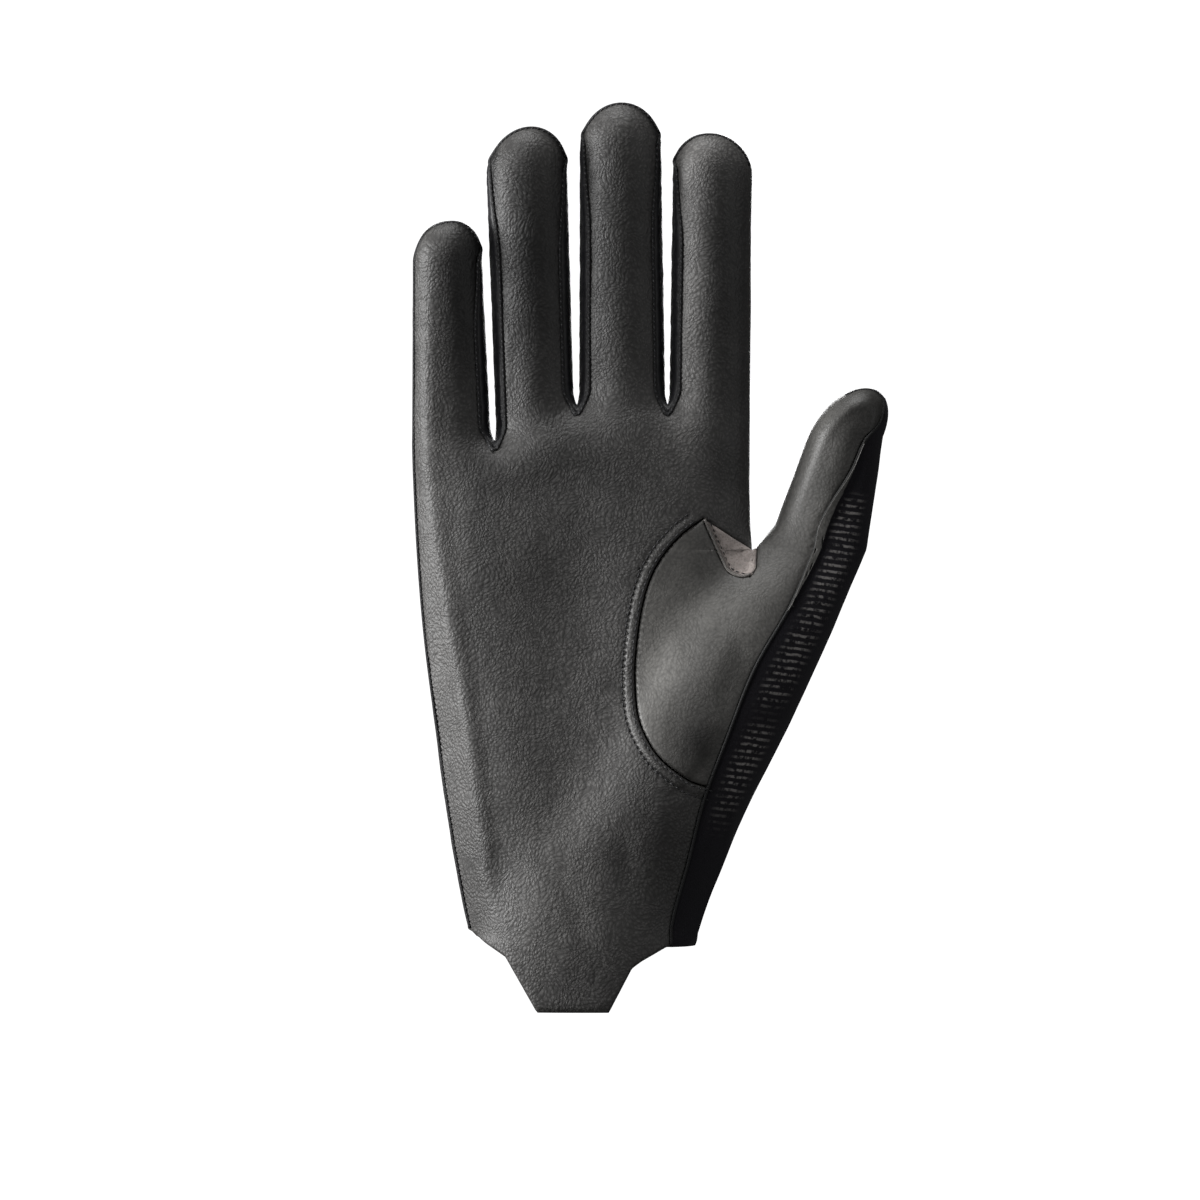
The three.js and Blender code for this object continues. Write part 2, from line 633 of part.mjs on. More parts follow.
// The back of the hand and fingers, and the strip that comes round to the palm face.
function makeBack() {
  const sheet = new Sheet();
  for (const digit of [...digits, thumb]) {
    const spans = (digit === thumb ? THUMB_SPANS : FINGER_SPANS).back;
    const heights = [-BACK_HEM, ...heightsOf(digit, "back")];
    const rows = heights.map((z) => {
      const row = panelRow(digit, Math.max(z, 0), "back", spans, z).reverse();
      if (digit !== thumb) return row;
      const edge = row[0];
      const seam = sideSeam(z) + HALF_GAP;
      const strip = [];
      for (let k = 0; k < WRAP_SPANS; k++) {
        const v = (1 - k / WRAP_SPANS) ** 2;
        const x = lerp(edge.x, seam, v);
        strip.push(thumbStrip(z) > 0.01 ? surface(x, z, "front", edge.y) : edge.clone());
      }
      return [...strip, ...row];
    });
    sheet.grid([...rows, outlineRow(digit, rows.at(-1), "back")]);
  }
  return sheet.thicken(FABRIC);
}

const wasm = await Module();
wasm.setup();

function toSolid(geometry) {
  const plain = new THREE.BufferGeometry();
  const source = geometry.index ? geometry : mergeVertices(geometry, 1e-4);
  plain.setAttribute("position", source.getAttribute("position"));
  plain.setIndex(source.index);
  const merged = mergeVertices(plain, 1e-4);
  return new wasm.Manifold(
    new wasm.Mesh({
      numProp: 3,
      vertProperties: new Float32Array(merged.attributes.position.array),
      triVerts: new Uint32Array(merged.index.array),
    }),
  );
}
function toGeometry(solid) {
  const mesh = solid.getMesh();
  const geometry = new THREE.BufferGeometry();
  geometry.setAttribute("position", new THREE.BufferAttribute(mesh.vertProperties, 3));
  geometry.setIndex(new THREE.BufferAttribute(mesh.triVerts, 1));
  return geometry;
}

// A cut one seam gap wide along a line drawn on the palm face, through the given depths.
function seamCut(table, nearY, farY) {
  const points = table.map((row) => new THREE.Vector2(row.x * PALM_BREADTH, row.height * PALM_HEIGHT));
  const sides = points.map((p, i) => {
    const next = points[Math.min(i + 1, points.length - 1)];
    const way = next.clone().sub(points[Math.max(i - 1, 0)]);
    return new THREE.Vector2(-way.y, way.x).normalize().multiplyScalar(HALF_GAP);
  });
  const ring = [
    ...points.map((p, i) => p.clone().add(sides[i])),
    ...points.map((p, i) => p.clone().sub(sides[i])).reverse(),
  ];
  const slot = new THREE.ExtrudeGeometry(new THREE.Shape(ring), {
    depth: farY - nearY,
    bevelEnabled: false,
  });
  slot.rotateX(Math.PI / 2).translate(0, farY, 0);
  return toSolid(slot);
}

const face = toSolid(makeFace());
const reach = 2 * PALM_DEPTH;
const cuts = [
  seamCut(THUMB_SEAM, -reach, 0),
  seamCut(GUSSET_TOP, -reach, reach),
  seamCut(GUSSET_FOOT, -reach, reach),
  seamCut(GUSSET_SIDE, -reach, 0),
];
const pieces = cuts
  .reduce((solid, cut) => solid.subtract(cut), face)
  .decompose()
  .sort((a, b) => b.volume() - a.volume());

const finish = (color, roughness) => new THREE.MeshStandardMaterial({ color, roughness, metalness: 0 });
const palmLeather = finish(0x46464a, 0.62);
const thumbLeather = finish(0x4c4c50, 0.62);
const gussetSuede = finish(0x4f4a46, 0.9);
const forkLeather = finish(0x26262a, 0.5);
const stretchFabric = finish(0x17171a, 0.95);

const glove = new THREE.Group();
glove.name = "riding_glove";
function addPiece(name, geometry, material) {
  const mesh = new THREE.Mesh(geometry, material);
  mesh.name = name;
  glove.add(mesh);
}
addPiece("palm_leather", toGeometry(pieces[0]), palmLeather);
addPiece("thumb_leather", toGeometry(pieces[1]), thumbLeather);
addPiece("thumb_gusset", toGeometry(pieces[2]), gussetSuede);
addPiece("back_fabric", makeBack(), stretchFabric);
forks.forEach((fork, i) => {
  const name = "fork_strip_" + DIGITS[i].name + "_" + DIGITS[i + 1].name;
  addPiece(name, makeForkStrip(fork, digits[i], digits[i + 1]), forkLeather);
});

export default glove;
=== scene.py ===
import math
import bpy
import numpy as np
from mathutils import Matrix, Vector, kdtree, noise


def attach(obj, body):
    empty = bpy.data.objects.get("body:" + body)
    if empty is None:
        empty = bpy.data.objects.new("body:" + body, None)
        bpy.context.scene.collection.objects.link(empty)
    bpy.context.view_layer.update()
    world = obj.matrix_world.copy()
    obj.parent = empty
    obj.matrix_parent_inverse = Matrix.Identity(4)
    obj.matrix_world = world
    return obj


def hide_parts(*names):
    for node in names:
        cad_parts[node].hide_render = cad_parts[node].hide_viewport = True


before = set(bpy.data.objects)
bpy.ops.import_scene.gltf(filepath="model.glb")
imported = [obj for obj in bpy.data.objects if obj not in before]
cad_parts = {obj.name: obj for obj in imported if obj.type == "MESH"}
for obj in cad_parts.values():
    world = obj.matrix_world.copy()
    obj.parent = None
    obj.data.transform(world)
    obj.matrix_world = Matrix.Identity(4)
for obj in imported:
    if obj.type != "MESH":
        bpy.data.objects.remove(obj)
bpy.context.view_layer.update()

# Sizes (millimetres, as the frame's)
MM = 0.001
PALM_BREADTH = 88.0
PALM_HEIGHT = 130.0
PALM_DEPTH = 30.0
THUMB_CROTCH = 101.6
THUMB_LENGTH = 42.0
LEATHER = 1.1
FABRIC = 1.0
HALF_GAP = 0.15
GUSSET_GAP = 0.04
FORK_DROP = 2.6
THUMB_FORK_DROP = 4.4
TAB_LENGTH = 18.0
FINGER_BOW = 4.0
FORK_STRIP = 2.4
FORK_STRIP_BACK = 3.2
SIDE_WRAP = 3.2
WEB_ROUNDING = 8.0
FINGER_FADE = 30.0
BLEND = 7.0
LOW_ROW = 3.9
BACK_HEM = 1.3
SEAM_TUCK = np.array([-1.3, 1.4, 0.0])  # how the fabric runs on under the leather at the side seam

FINE = 0.8  # spacing of the fine rows

# name, length, tip x, cap, edges at the top and at the root, depths: shares as in the frame
DIGITS = [
    dict(name="little", length=57.0, tip=-0.388, cap=0.118, top=(-0.505, -0.301), root=(-0.508, -0.275),
        front=0.275, back=0.275),
    dict(name="ring", length=81.4, tip=-0.154, cap=0.136, top=(-0.288, -0.049), root=(-0.259, -0.027),
        front=0.305, back=0.3),
    dict(name="middle", length=87.6, tip=0.111, cap=0.13, top=(-0.012, 0.228), root=(-0.015, 0.242),
        front=0.31, back=0.31),
    dict(name="index", length=79.6, tip=0.368, cap=0.112, top=(0.262, 0.495), root=(0.251, 0.49),
        front=0.305, back=0.3),
]
THUMB = dict(name="thumb", length=THUMB_LENGTH, tip=0.832, cap=0.145, top=(0.662, 0.883),
    root=(0.538, 0.836), front=0.36, back=0.36)
FORKS = [(-0.2644, 1.0, 0.023), (-0.0207, 1.071, 0.023), (0.2467, 1.071, 0.023)]
THUMB_FORK = (0.4963, THUMB_CROTCH / PALM_HEIGHT, 0.05)

# height, left, right, front, back
PALM_SECTIONS = np.array([
    (0.01, -0.336, 0.334, 0.62, 0.64), (0.07, -0.356, 0.354, 0.6, 0.62), (0.2, -0.391, 0.437, 0.55, 0.56),
    (0.4, -0.434, 0.511, 0.51, 0.51), (0.6, -0.473, 0.532, 0.49, 0.49), (0.78, -0.495, 0.496, 0.47, 0.46),
    (0.978, -0.508, 0.49, 0.41, 0.4), (1.072, -0.508, 0.493, 0.36, 0.36),
])
THUMB_SECTIONS = np.array([
    (0.01, -0.328, 0.334, 0.62, 0.64), (0.07, -0.307, 0.363, 0.62, 0.62), (0.16, -0.219, 0.417, 0.64, 0.58),
    (0.28, -0.071, 0.493, 0.66, 0.53), (0.4, 0.033, 0.585, 0.67, 0.49), (0.48, 0.092, 0.641, 0.66, 0.46),
    (0.6, 0.21, 0.721, 0.62, 0.42), (0.68, 0.313, 0.771, 0.54, 0.4), (0.736, 0.402, 0.807, 0.45, 0.38),
    (0.782, 0.4963, 0.836, 0.36, 0.36),
])
LEFT, RIGHT, FRONT, BACK = 1, 2, 3, 4
SIDE_SEAM = np.array([
    (0, 0.082), (0.154, 0.109), (0.302, 0.148), (0.43, 0.174), (0.552, 0.183), (0.676, 0.157),
    (0.82, 0.154), (0.872, 0.127), (0.934, 0.083), (1.002, 0.053), (1.03, 0.03),
])
THUMB_SEAM = np.array([
    (0.352, 0.842), (0.287, 0.81), (0.228, 0.764), (0.189, 0.712), (0.165, 0.646), (0.151, 0.57),
    (0.148, 0.518),
    (0.154, 0.458), (0.174, 0.416), (0.214, 0.372), (0.272, 0.338), (0.334, 0.314), (0.43, 0.3),
])
GUSSET = np.array([
    (0.352, 0.842), (0.4963, 0.7815), (0.4966, 0.8), (0.507, 0.8), (0.508, 0.79), (0.507, 0.765),
    (0.505, 0.745), (0.492, 0.731), (0.462, 0.727), (0.428, 0.736), (0.408, 0.757),
])
GUSSET_LEFT = [0, 10, 9, 8]  # the points of its stitched left edge
HEM = np.array([
    (-0.35, 0.17), (-0.328, 0.12), (-0.29, -0.03), (-0.233, -0.21), (-0.139, -1), (0.074, -1),
    (0.142, -0.37), (0.171, -0.27), (0.245, -0.07), (0.4, -0.07),
])
DENTS = [  # x, height, half width, half height, depth
    (-0.03, 0.66, 0.22, 0.3, 0.09), (-0.08, 0.9, 0.3, 0.035, 0.035), (-0.27, 0.35, 0.16, 0.25, -0.05),
    (0.3, 0.44, 0.06, 0.07, 0.04), (0.06, 0.14, 0.2, 0.07, 0.04),
]


def lerp(a, b, t):
    return a + (b - a) * t


def smooth(x, low, high):
    t = np.clip((x - low) / (high - low), 0, 1)
    return t * t * (3 - 2 * t)


def section(table, h, column):
    """A table of sections read at heights h by the cubic through its rows."""
    h = np.clip(np.asarray(h, float), table[0, 0], table[-1, 0])
    knots, values = table[:, 0], table[:, column]
    last = len(knots) - 1
    i = np.clip(np.searchsorted(knots, h, side="right") - 1, 0, last - 1)
    before, after = np.maximum(np.arange(last + 1) - 1, 0), np.minimum(np.arange(last + 1) + 1, last)
    slope = (values[after] - values[before]) / (knots[after] - knots[before])
    step = knots[i + 1] - knots[i]
    t = (h - knots[i]) / step
    return (
        (2 * t**3 - 3 * t**2 + 1) * values[i] + (t**3 - 2 * t**2 + t) * step * slope[i]
        + (3 * t**2 - 2 * t**3) * values[i + 1] + (t**3 - t**2) * step * slope[i + 1]
    )


def palm_left(z):
    return PALM_BREADTH * section(PALM_SECTIONS, z / PALM_HEIGHT, LEFT)


def palm_right(z):
    return PALM_BREADTH * section(PALM_SECTIONS, z / PALM_HEIGHT, RIGHT)


def thumb_right(z):
    return PALM_BREADTH * section(THUMB_SECTIONS, z / PALM_HEIGHT, RIGHT)


def side_inset(z):
    return PALM_BREADTH * section(SIDE_SEAM, z / PALM_HEIGHT, 1)


def low_right(z, side):
    """Right edge of a side's panels below the thumb crotch: the side seam or the outline."""
    if side == "back":
        return thumb_right(z)
    z = np.maximum(z, LOW_ROW)
    return thumb_right(z) - side_inset(z)


def crotch_line(z, side):
    left = palm_left(THUMB_CROTCH)
    share = (THUMB_FORK[0] * PALM_BREADTH - left) / (low_right(THUMB_CROTCH, side) - left)
    return lerp(palm_left(z), low_right(z, side), share)


class Fork:
    def __init__(self, x, height, closing, drop, back_drop):
        self.x, self.z, self.closing = x * PALM_BREADTH, height * PALM_HEIGHT, closing * PALM_HEIGHT
        self.seam = {"front": self.z - drop, "back": self.z - back_drop}
        self.thumb = self.z <= THUMB_CROTCH + 1e-6

    def line(self, z, side):
        low = np.minimum(z, self.z)
        if self.thumb:
            return crotch_line(low, side)
        share = (self.x - palm_left(self.z)) / (palm_right(self.z) - palm_left(self.z))
        bound = np.where(low > THUMB_CROTCH, palm_right(low), crotch_line(low, side))
        return lerp(palm_left(low), bound, share)


class Digit:
    """A finger or the thumb: a tube with a rounded end, whose edges close up towards its forks."""

    def __init__(self, row, root, left_fork, right_fork):
        self.row, self.name, self.root = row, row["name"], root
        self.left_fork, self.right_fork = left_fork, right_fork
        self.cap = row["cap"] * PALM_BREADTH
        self.tip = root + row["length"]
        self.base = self.tip - self.cap
        left, right = self.edges(self.base)
        self.shift = row["tip"] * PALM_BREADTH - (left + right) / 2
        self.half_base = (right - left) / 2
        self.middle_base = (left + right) / 2

    def edges(self, z):
        s = np.clip((z - self.root) / (self.base - self.root), -0.3, 1)
        found = []
        for k, fork in enumerate((self.left_fork, self.right_fork)):
            edge = PALM_BREADTH * lerp(self.row["root"][k], self.row["top"][k], s)
            if fork:
                edge = lerp(fork.line(z, "front"), edge, np.sqrt(np.clip((z - fork.z) / fork.closing, 0, 1)))
            found.append(edge)
        return found

    def shape(self, z):
        z = np.asarray(z, float)
        k = np.clip((z - self.base) / self.cap, 0, 1)
        round_ = np.sqrt(1 - k * k)
        left, right = self.edges(np.minimum(z, self.base))
        rise = np.clip((z - self.root) / (self.tip - self.root), 0, 1)
        fade = smooth(z, self.root - FINGER_FADE, self.root)
        return dict(
            x=(left + right) / 2 + self.shift * k, half=(right - left) / 2 * round_,
            y=-FINGER_BOW * rise * rise, front=self.row["front"] * PALM_DEPTH * round_ * fade,
            back=self.row["back"] * PALM_DEPTH * round_ * fade, power=2.0,
        )


forks = [Fork(x, h, c, FORK_DROP, FORK_DROP) for x, h, c in FORKS]
thumb_fork = Fork(*THUMB_FORK, 0, THUMB_FORK_DROP)
digits = [
    Digit(row, PALM_HEIGHT, forks[i - 1] if i else None, forks[i] if i < 3 else None)
    for i, row in enumerate(DIGITS)
]
thumb = Digit(THUMB, THUMB_CROTCH, thumb_fork, None)
index = digits[3]


def hand_shape(table, z, power):
    h = z / PALM_HEIGHT
    left, right = PALM_BREADTH * section(table, h, LEFT), PALM_BREADTH * section(table, h, RIGHT)
    return dict(
        x=(left + right) / 2, half=(right - left) / 2, y=0.0, front=PALM_DEPTH * section(table, h, FRONT),
        back=PALM_DEPTH * section(table, h, BACK), power=power,
    )


def web_round(x, z):
    top = np.interp(x, [float(f.line(f.z, "front")) for f in forks], [f.z for f in forks])
    k = np.clip((z - (top - WEB_ROUNDING)) / WEB_ROUNDING, 0, 1)
    return np.sqrt(1 - k * k)


def plain_depth(x, z, side):
    """Depth of the glove in front of or behind the middle plane; nan off its outline."""
    x, z = np.broadcast_arrays(np.asarray(x, float), np.asarray(z, float))
    sign = -1 if side == "front" else 1
    rises, tops = [], []

    def add(shape, there, scale=1.0):
        s = np.abs(x - shape["x"]) / np.maximum(shape["half"], 1e-6)
        ok = (s < 1) & there & (scale > 0)
        round_off = np.clip(1 - np.minimum(s, 1) ** shape["power"], 0, 1) ** (1 / shape["power"])
        rise = shape[side] * scale * round_off
        rises.append(np.where(ok, rise, 0))
        tops.append(np.where(ok, sign * shape["y"] + rise, -1e3))

    for digit in digits:
        add(digit.shape(z), z < digit.tip)
    add(thumb.shape(z), (z < thumb.tip) & (z > THUMB_CROTCH))
    add(hand_shape(THUMB_SECTIONS, z, 2.1 - 0.1 * smooth(z, 0.8 * THUMB_CROTCH, THUMB_CROTCH)),
        z <= THUMB_CROTCH)
    add(hand_shape(PALM_SECTIONS, z, 2.4), np.full(z.shape, True), web_round(x, z))
    rises, tops = np.array(rises), np.array(tops)
    order = np.argsort(-tops, axis=0, kind="stable")
    rises, tops = np.take_along_axis(rises, order, 0), np.take_along_axis(tops, order, 0)
    rise, top = rises[0], tops[0].copy()
    for k in range(1, len(tops)):
        blend = np.maximum(np.minimum(np.minimum(rise, rises[k]), BLEND), 1e-6)
        close = np.maximum(blend - np.abs(top - tops[k]), 0)
        top = top + close**2 / (4 * blend)
    if side == "front":
        dent = 0
        for cx, ch, wide, tall, depth in DENTS:
            u, v = (x / PALM_BREADTH - cx) / wide, (z / PALM_HEIGHT - ch) / tall
            dent = dent + depth * PALM_DEPTH * np.exp(-2 * (u * u + v * v))
        top = top - dent * np.clip(rise / BLEND, 0, 1)
    return np.where(tops[0] < -100, np.nan, top)


EVEN_STEP = 1.0  # spacing of the raster that evens out the creases between the forms
EVEN_REACH = 3.2  # how far it evens them out
CROTCH_REACH = 11.0  # and round the thumb crotch it does so up to the outline
EVEN_X, EVEN_Z = np.arange(-50, 86, EVEN_STEP), np.arange(-4, 224, EVEN_STEP)


def blurred(raster, reach):
    t = np.arange(-int(3 * reach), int(3 * reach) + 1)
    kernel = np.exp(-0.5 * (t / reach) ** 2)
    kernel /= kernel.sum()
    for axis in (0, 1):
        raster = np.apply_along_axis(lambda row: np.convolve(row, kernel, "same"), axis, raster)
    return raster


def evened(side):
    """The evened depth on the raster, and how far it stands in for the plain one there."""
    x, z = np.meshgrid(EVEN_X, EVEN_Z)
    depth = plain_depth(x, np.maximum(z, 0), side)
    there = ~np.isnan(depth)
    share = blurred(there.astype(float), EVEN_REACH)
    even = blurred(np.where(there, depth, 0), EVEN_REACH) / np.maximum(share, 1e-3)
    inner = smooth(share, 0.86, 0.995) * (1 - smooth(z, 1.12 * PALM_HEIGHT, 1.3 * PALM_HEIGHT))
    from_crotch = np.hypot(x - THUMB_FORK[0] * PALM_BREADTH, z - THUMB_CROTCH)
    inner = np.maximum(inner, np.exp(-((from_crotch / CROTCH_REACH) ** 2)) * smooth(share, 0.5, 0.72))
    return even, inner


EVENED = {side: evened(side) for side in ("front", "back")}


def depth_at(x, z, side):
    """The plain depth with the creases between its forms evened out."""
    i = np.clip((np.asarray(z, float) - EVEN_Z[0]) / EVEN_STEP, 0, len(EVEN_Z) - 1.001)
    j = np.clip((np.asarray(x, float) - EVEN_X[0]) / EVEN_STEP, 0, len(EVEN_X) - 1.001)
    r, c = i.astype(int), j.astype(int)
    u, v = i - r, j - c

    def read(raster):
        return lerp(lerp(raster[r, c], raster[r, c + 1], v),
            lerp(raster[r + 1, c], raster[r + 1, c + 1], v), u)

    even, inner = (read(raster) for raster in EVENED[side])
    return lerp(plain_depth(x, z, side), even, inner)


def surface(x, z, side, middle=0.0):
    """Points on the front or back of the glove, an array with x, y, z last."""
    x, z = np.broadcast_arrays(np.asarray(x, float), np.asarray(z, float))
    depth = depth_at(x, z, side)
    y = -depth if side == "front" else depth
    y = np.where(np.isnan(depth), middle, y)
    return np.stack([x, y, z], -1)


# The panels' edges
def cap_start(digit):
    return digit.base + digit.cap * math.sin(math.radians(16))


def past_base(digit, z):
    return np.clip((z - digit.base) / (cap_start(digit) - digit.base), 0, 1)


def taper(digit, z):
    """Share of a side strip's width left at a height: it narrows to a point above the cap's base."""
    below = 1 - 0.6 * smooth(z, digit.base - 2 * digit.cap, digit.base)
    return np.where(z > digit.base, 0.4 * (1 - past_base(digit, z)), below)


def side_seam(z):
    shape = thumb.shape(z)
    run_out = 1 - np.clip((z - thumb.base) / (0.8 * thumb.cap), 0, 1)
    upper = shape["x"] + shape["half"] - side_inset(z) * run_out
    return np.where(z <= thumb_fork.z, low_right(z, "front"), upper)


def stretch(digit, z, side):
    """Left edge, right edge and middle y of a digit's stretch of the glove at heights z."""
    shape = digit.shape(z)
    left, right = shape["x"] - shape["half"], shape["x"] + shape["half"]
    crotch, low = crotch_line(z, side), z <= thumb_fork.z
    if digit is thumb:
        return np.where(low, crotch, left), np.where(low, thumb_right(z), right), np.where(low, 0, shape["y"])

    def edge(fork, own, of_hand):
        if fork:
            return np.where(z <= fork.z, fork.line(z, side), own)
        return np.where(z <= PALM_HEIGHT, of_hand, own)

    return (
        edge(digit.left_fork, left, palm_left(z)),
        edge(digit.right_fork, right, np.where(low, crotch, palm_right(z))),
        shape["y"],
    )


def strip_width(fork, side):
    if side == "front":
        return FORK_STRIP
    return SIDE_WRAP if fork is thumb_fork else FORK_STRIP_BACK


def fork_seam(digit, z, fork, sign, side, clear):
    """x of the seam beside a fork at heights z; clear holds a piece off the seam line."""
    low = fork.seam[side] - clear
    left, right, _ = stretch(digit, z, side)
    edge = left if sign < 0 else right
    rise = np.sqrt(np.clip((z - low) / (fork.z - low + fork.closing), 0, 1))
    inner = edge - sign * (strip_width(fork, side) * taper(digit, z) + clear)
    return np.where(z <= low + 1e-9, fork.line(low, side), lerp(fork.line(z, side), inner, rise))


def thumb_strip(z):
    shape = thumb.shape(z)
    return np.where(z > thumb_fork.z, shape["x"] + shape["half"], thumb_right(z)) - side_seam(z)


def panel_end(digit, z, side, sign):
    """x and y of a panel's end at heights z; y is nan where the end lies on the surface."""
    left, right, mid = stretch(digit, z, side)
    front = side == "front"
    off = -HALF_GAP if front else HALF_GAP
    edge = left if sign < 0 else right
    on = np.full(z.shape, np.nan)
    if digit is thumb and sign > 0:
        strip = thumb_strip(z) > 0.01
        if front:
            return np.where(strip, side_seam(z) - HALF_GAP, right), np.where(strip, on, mid + off)
        return right, mid + np.where(strip, 0, off)
    fork = digit.left_fork if sign < 0 else (digit.right_fork or (thumb_fork if digit is index else None))
    if not fork:
        return edge, mid + off
    if fork is thumb_fork and front:
        below = z <= fork.z - 1e-9
        wraps = z <= digit.base + 1e-9
        return np.where(below, crotch_line(z, side), edge), np.where(below, on, mid + np.where(wraps, 0, off))
    joined = z <= fork.seam[side] - HALF_GAP + 1e-9
    gone = z > digit.base + 1e-9 if fork is thumb_fork else taper(digit, z) <= 0
    low = edge if fork is thumb_fork else fork.line(z, side)
    seam = np.where(gone, edge, fork_seam(digit, z, fork, sign, side, HALF_GAP))
    return np.where(joined, low, seam), np.where(joined | ~gone, on, mid + off)


def crowded(count, crowd=1.6):
    """Shares from 0 to 1 that crowd towards both ends."""
    t = np.linspace(0, 1, count + 1)
    return np.where(t < 0.5, 0.5 * (2 * t) ** crowd, 1 - 0.5 * (2 - 2 * t) ** crowd)


def panel_grid(digit, z, side, spans, at=None):
    """Grid of points of a digit's stretch of a panel: rows at heights z, from left to right."""
    z = np.asarray(z, float)
    at = z if at is None else np.asarray(at, float)
    left, right, mid = stretch(digit, z, side)
    ax, ay = panel_end(digit, z, side, -1)
    bx, by = panel_end(digit, z, side, 1)
    middle, half = (left + right) / 2, np.maximum((right - left) / 2, 1e-9)
    root = thumb_fork.z if digit is thumb else PALM_HEIGHT
    round_ = smooth(z, root - FINGER_FADE, root)
    turn_a = np.arcsin(np.clip((ax - middle) / half, -1, 1))
    turn_b = np.arcsin(np.clip((bx - middle) / half, -1, 1))
    u = crowded(spans)[None, :]
    only_left, only_right = (~np.isnan(ay) & np.isnan(by))[:, None], (np.isnan(ay) & ~np.isnan(by))[:, None]
    share = np.where(only_left, 1 - np.cos(u * np.pi / 2), np.where(only_right, np.sin(u * np.pi / 2), u))
    even = lerp(ax[:, None], bx[:, None], share)
    turn = lerp(-np.pi / 2, np.pi / 2, u)
    turn = turn + (turn_a + np.pi / 2)[:, None] * (1 - u) ** 3 + (turn_b - np.pi / 2)[:, None] * u**3
    turned = middle[:, None] + half[:, None] * np.sin(turn)
    x = lerp(even, turned, round_[:, None])
    x[:, 0], x[:, -1] = ax, bx
    points = surface(x, np.broadcast_to(at[:, None], x.shape), side, mid[:, None])
    # the edge itself never lies deeper than its neighbours
    if not (np.isnan(ay).all() and np.isnan(by).all()):
        if side == "front":
            points[..., 1] = np.minimum(points[..., 1], (mid - 1.05 * HALF_GAP)[:, None])
        else:
            points[..., 1] = np.maximum(points[..., 1], (mid + 1.05 * HALF_GAP)[:, None])
    points[:, 0, 1] = np.where(np.isnan(ay), points[:, 0, 1], ay)
    points[:, -1, 1] = np.where(np.isnan(by), points[:, -1, 1], by)
    return points


def outline_row(digit, row, side):
    """The last row of a cap, on the outline of the tip."""
    top, tip = digit.shape(digit.base), digit.shape(digit.tip - 1e-6)
    shift = float(tip["x"] - top["x"])
    low, high = np.full(len(row), math.sin(math.radians(CAP_TURNS[-1]))), np.ones(len(row))
    for _ in range(30):
        k = (low + high) / 2
        inside = top["half"] * np.sqrt(1 - k * k) > np.abs(row[:, 0] - top["x"] - shift * k)
        low, high = np.where(inside, k, low), np.where(inside, high, k)
    y = np.full(len(row), tip["y"] + (-HALF_GAP if side == "front" else HALF_GAP))
    return np.stack([row[:, 0], y, digit.base + digit.cap * low], -1)


CAP_TURNS = [4, 8, 12, 16, 21, 26, 31, 36, 41, 46, 51, 56, 61, 65, 69, 73, 76]
FINGER_SPANS = 26
THUMB_SPANS = 34
STRIP_SPANS = 6


def marks_of(side):
    return sorted({thumb_fork.z if side == "front" and f is thumb_fork else f.seam[side] - HALF_GAP
        for f in [*forks, thumb_fork]})


def heights_of(digit, side):
    """Heights of a digit's rows: even ones, closer ones above each fork, and its cap's."""
    marks = marks_of(side)
    even = np.arange(LOW_ROW, digit.base, FINE * 1.4)
    marks = [m for m in marks if m < digit.base - 0.4]
    near = [m + t * t for m in marks for t in (0.22, 0.5, 0.85)]
    rows = [z for z in [*even, *near] if min(abs(z - m) for m in marks) > 0.04]
    rows = sorted([z for z in rows if z < digit.base - 0.4] + marks)
    caps = [digit.base + digit.cap * math.sin(math.radians(a)) for a in CAP_TURNS]
    return np.array([*rows, digit.base, *caps])


def strip_grid(digit, fork, sign):
    """Rows round the side of a digit beside a fork, from the front seam to the back one."""
    wrap = fork is thumb_fork
    bottom = fork.z if wrap else fork.seam["front"] + HALF_GAP
    back_low = fork.seam["back"] + HALF_GAP
    free = fork.z + 2 * fork.closing
    even = [z for z in heights_of(digit, "front") if bottom + 0.03 < z < digit.base - 1e-6]
    near = [] if wrap else [bottom + t * t for t in (0.2, 0.45, 0.8, 1.2)]
    over_base = set() if wrap else {lerp(digit.base, cap_start(digit), t) for t in (0.4, 0.7, 0.9)}
    z = np.array(sorted({bottom, digit.base, *even, *near} | over_base))

    def squeeze(to):
        return np.where(z < free, lerp(to, free, (z - bottom) / (free - bottom)), z)

    ridge, at_fork = squeeze(fork.z), z == bottom
    left, right, mid = stretch(digit, np.maximum(ridge, fork.z + 1e-9), "front")
    top_x = np.where(at_fork, fork.line(fork.z, "front"), left if sign < 0 else right)
    top_y = np.where(at_fork, 0, mid)
    top = np.stack([top_x, top_y, ridge], -1)[:, None, :]

    def half(side, low):
        seam = np.where(at_fork, fork.line(low, side), fork_seam(digit, low, fork, sign, side, -HALF_GAP))
        v = (np.arange(1, STRIP_SPANS + 1) / STRIP_SPANS)[None, :] ** 2
        x, h = lerp(top_x[:, None], seam[:, None], v), lerp(ridge[:, None], low[:, None], v)
        return surface(x, h, side, top_y[:, None])

    back = half("back", squeeze(back_low))
    rows = np.concatenate([top, back] if wrap else [half("front", z)[:, ::-1], top, back], 1)
    return rows if sign > 0 else rows[:, ::-1]


def hem_height(x):
    return TAB_LENGTH * np.interp(x / PALM_BREADTH, HEM[:, 0], HEM[:, 1])


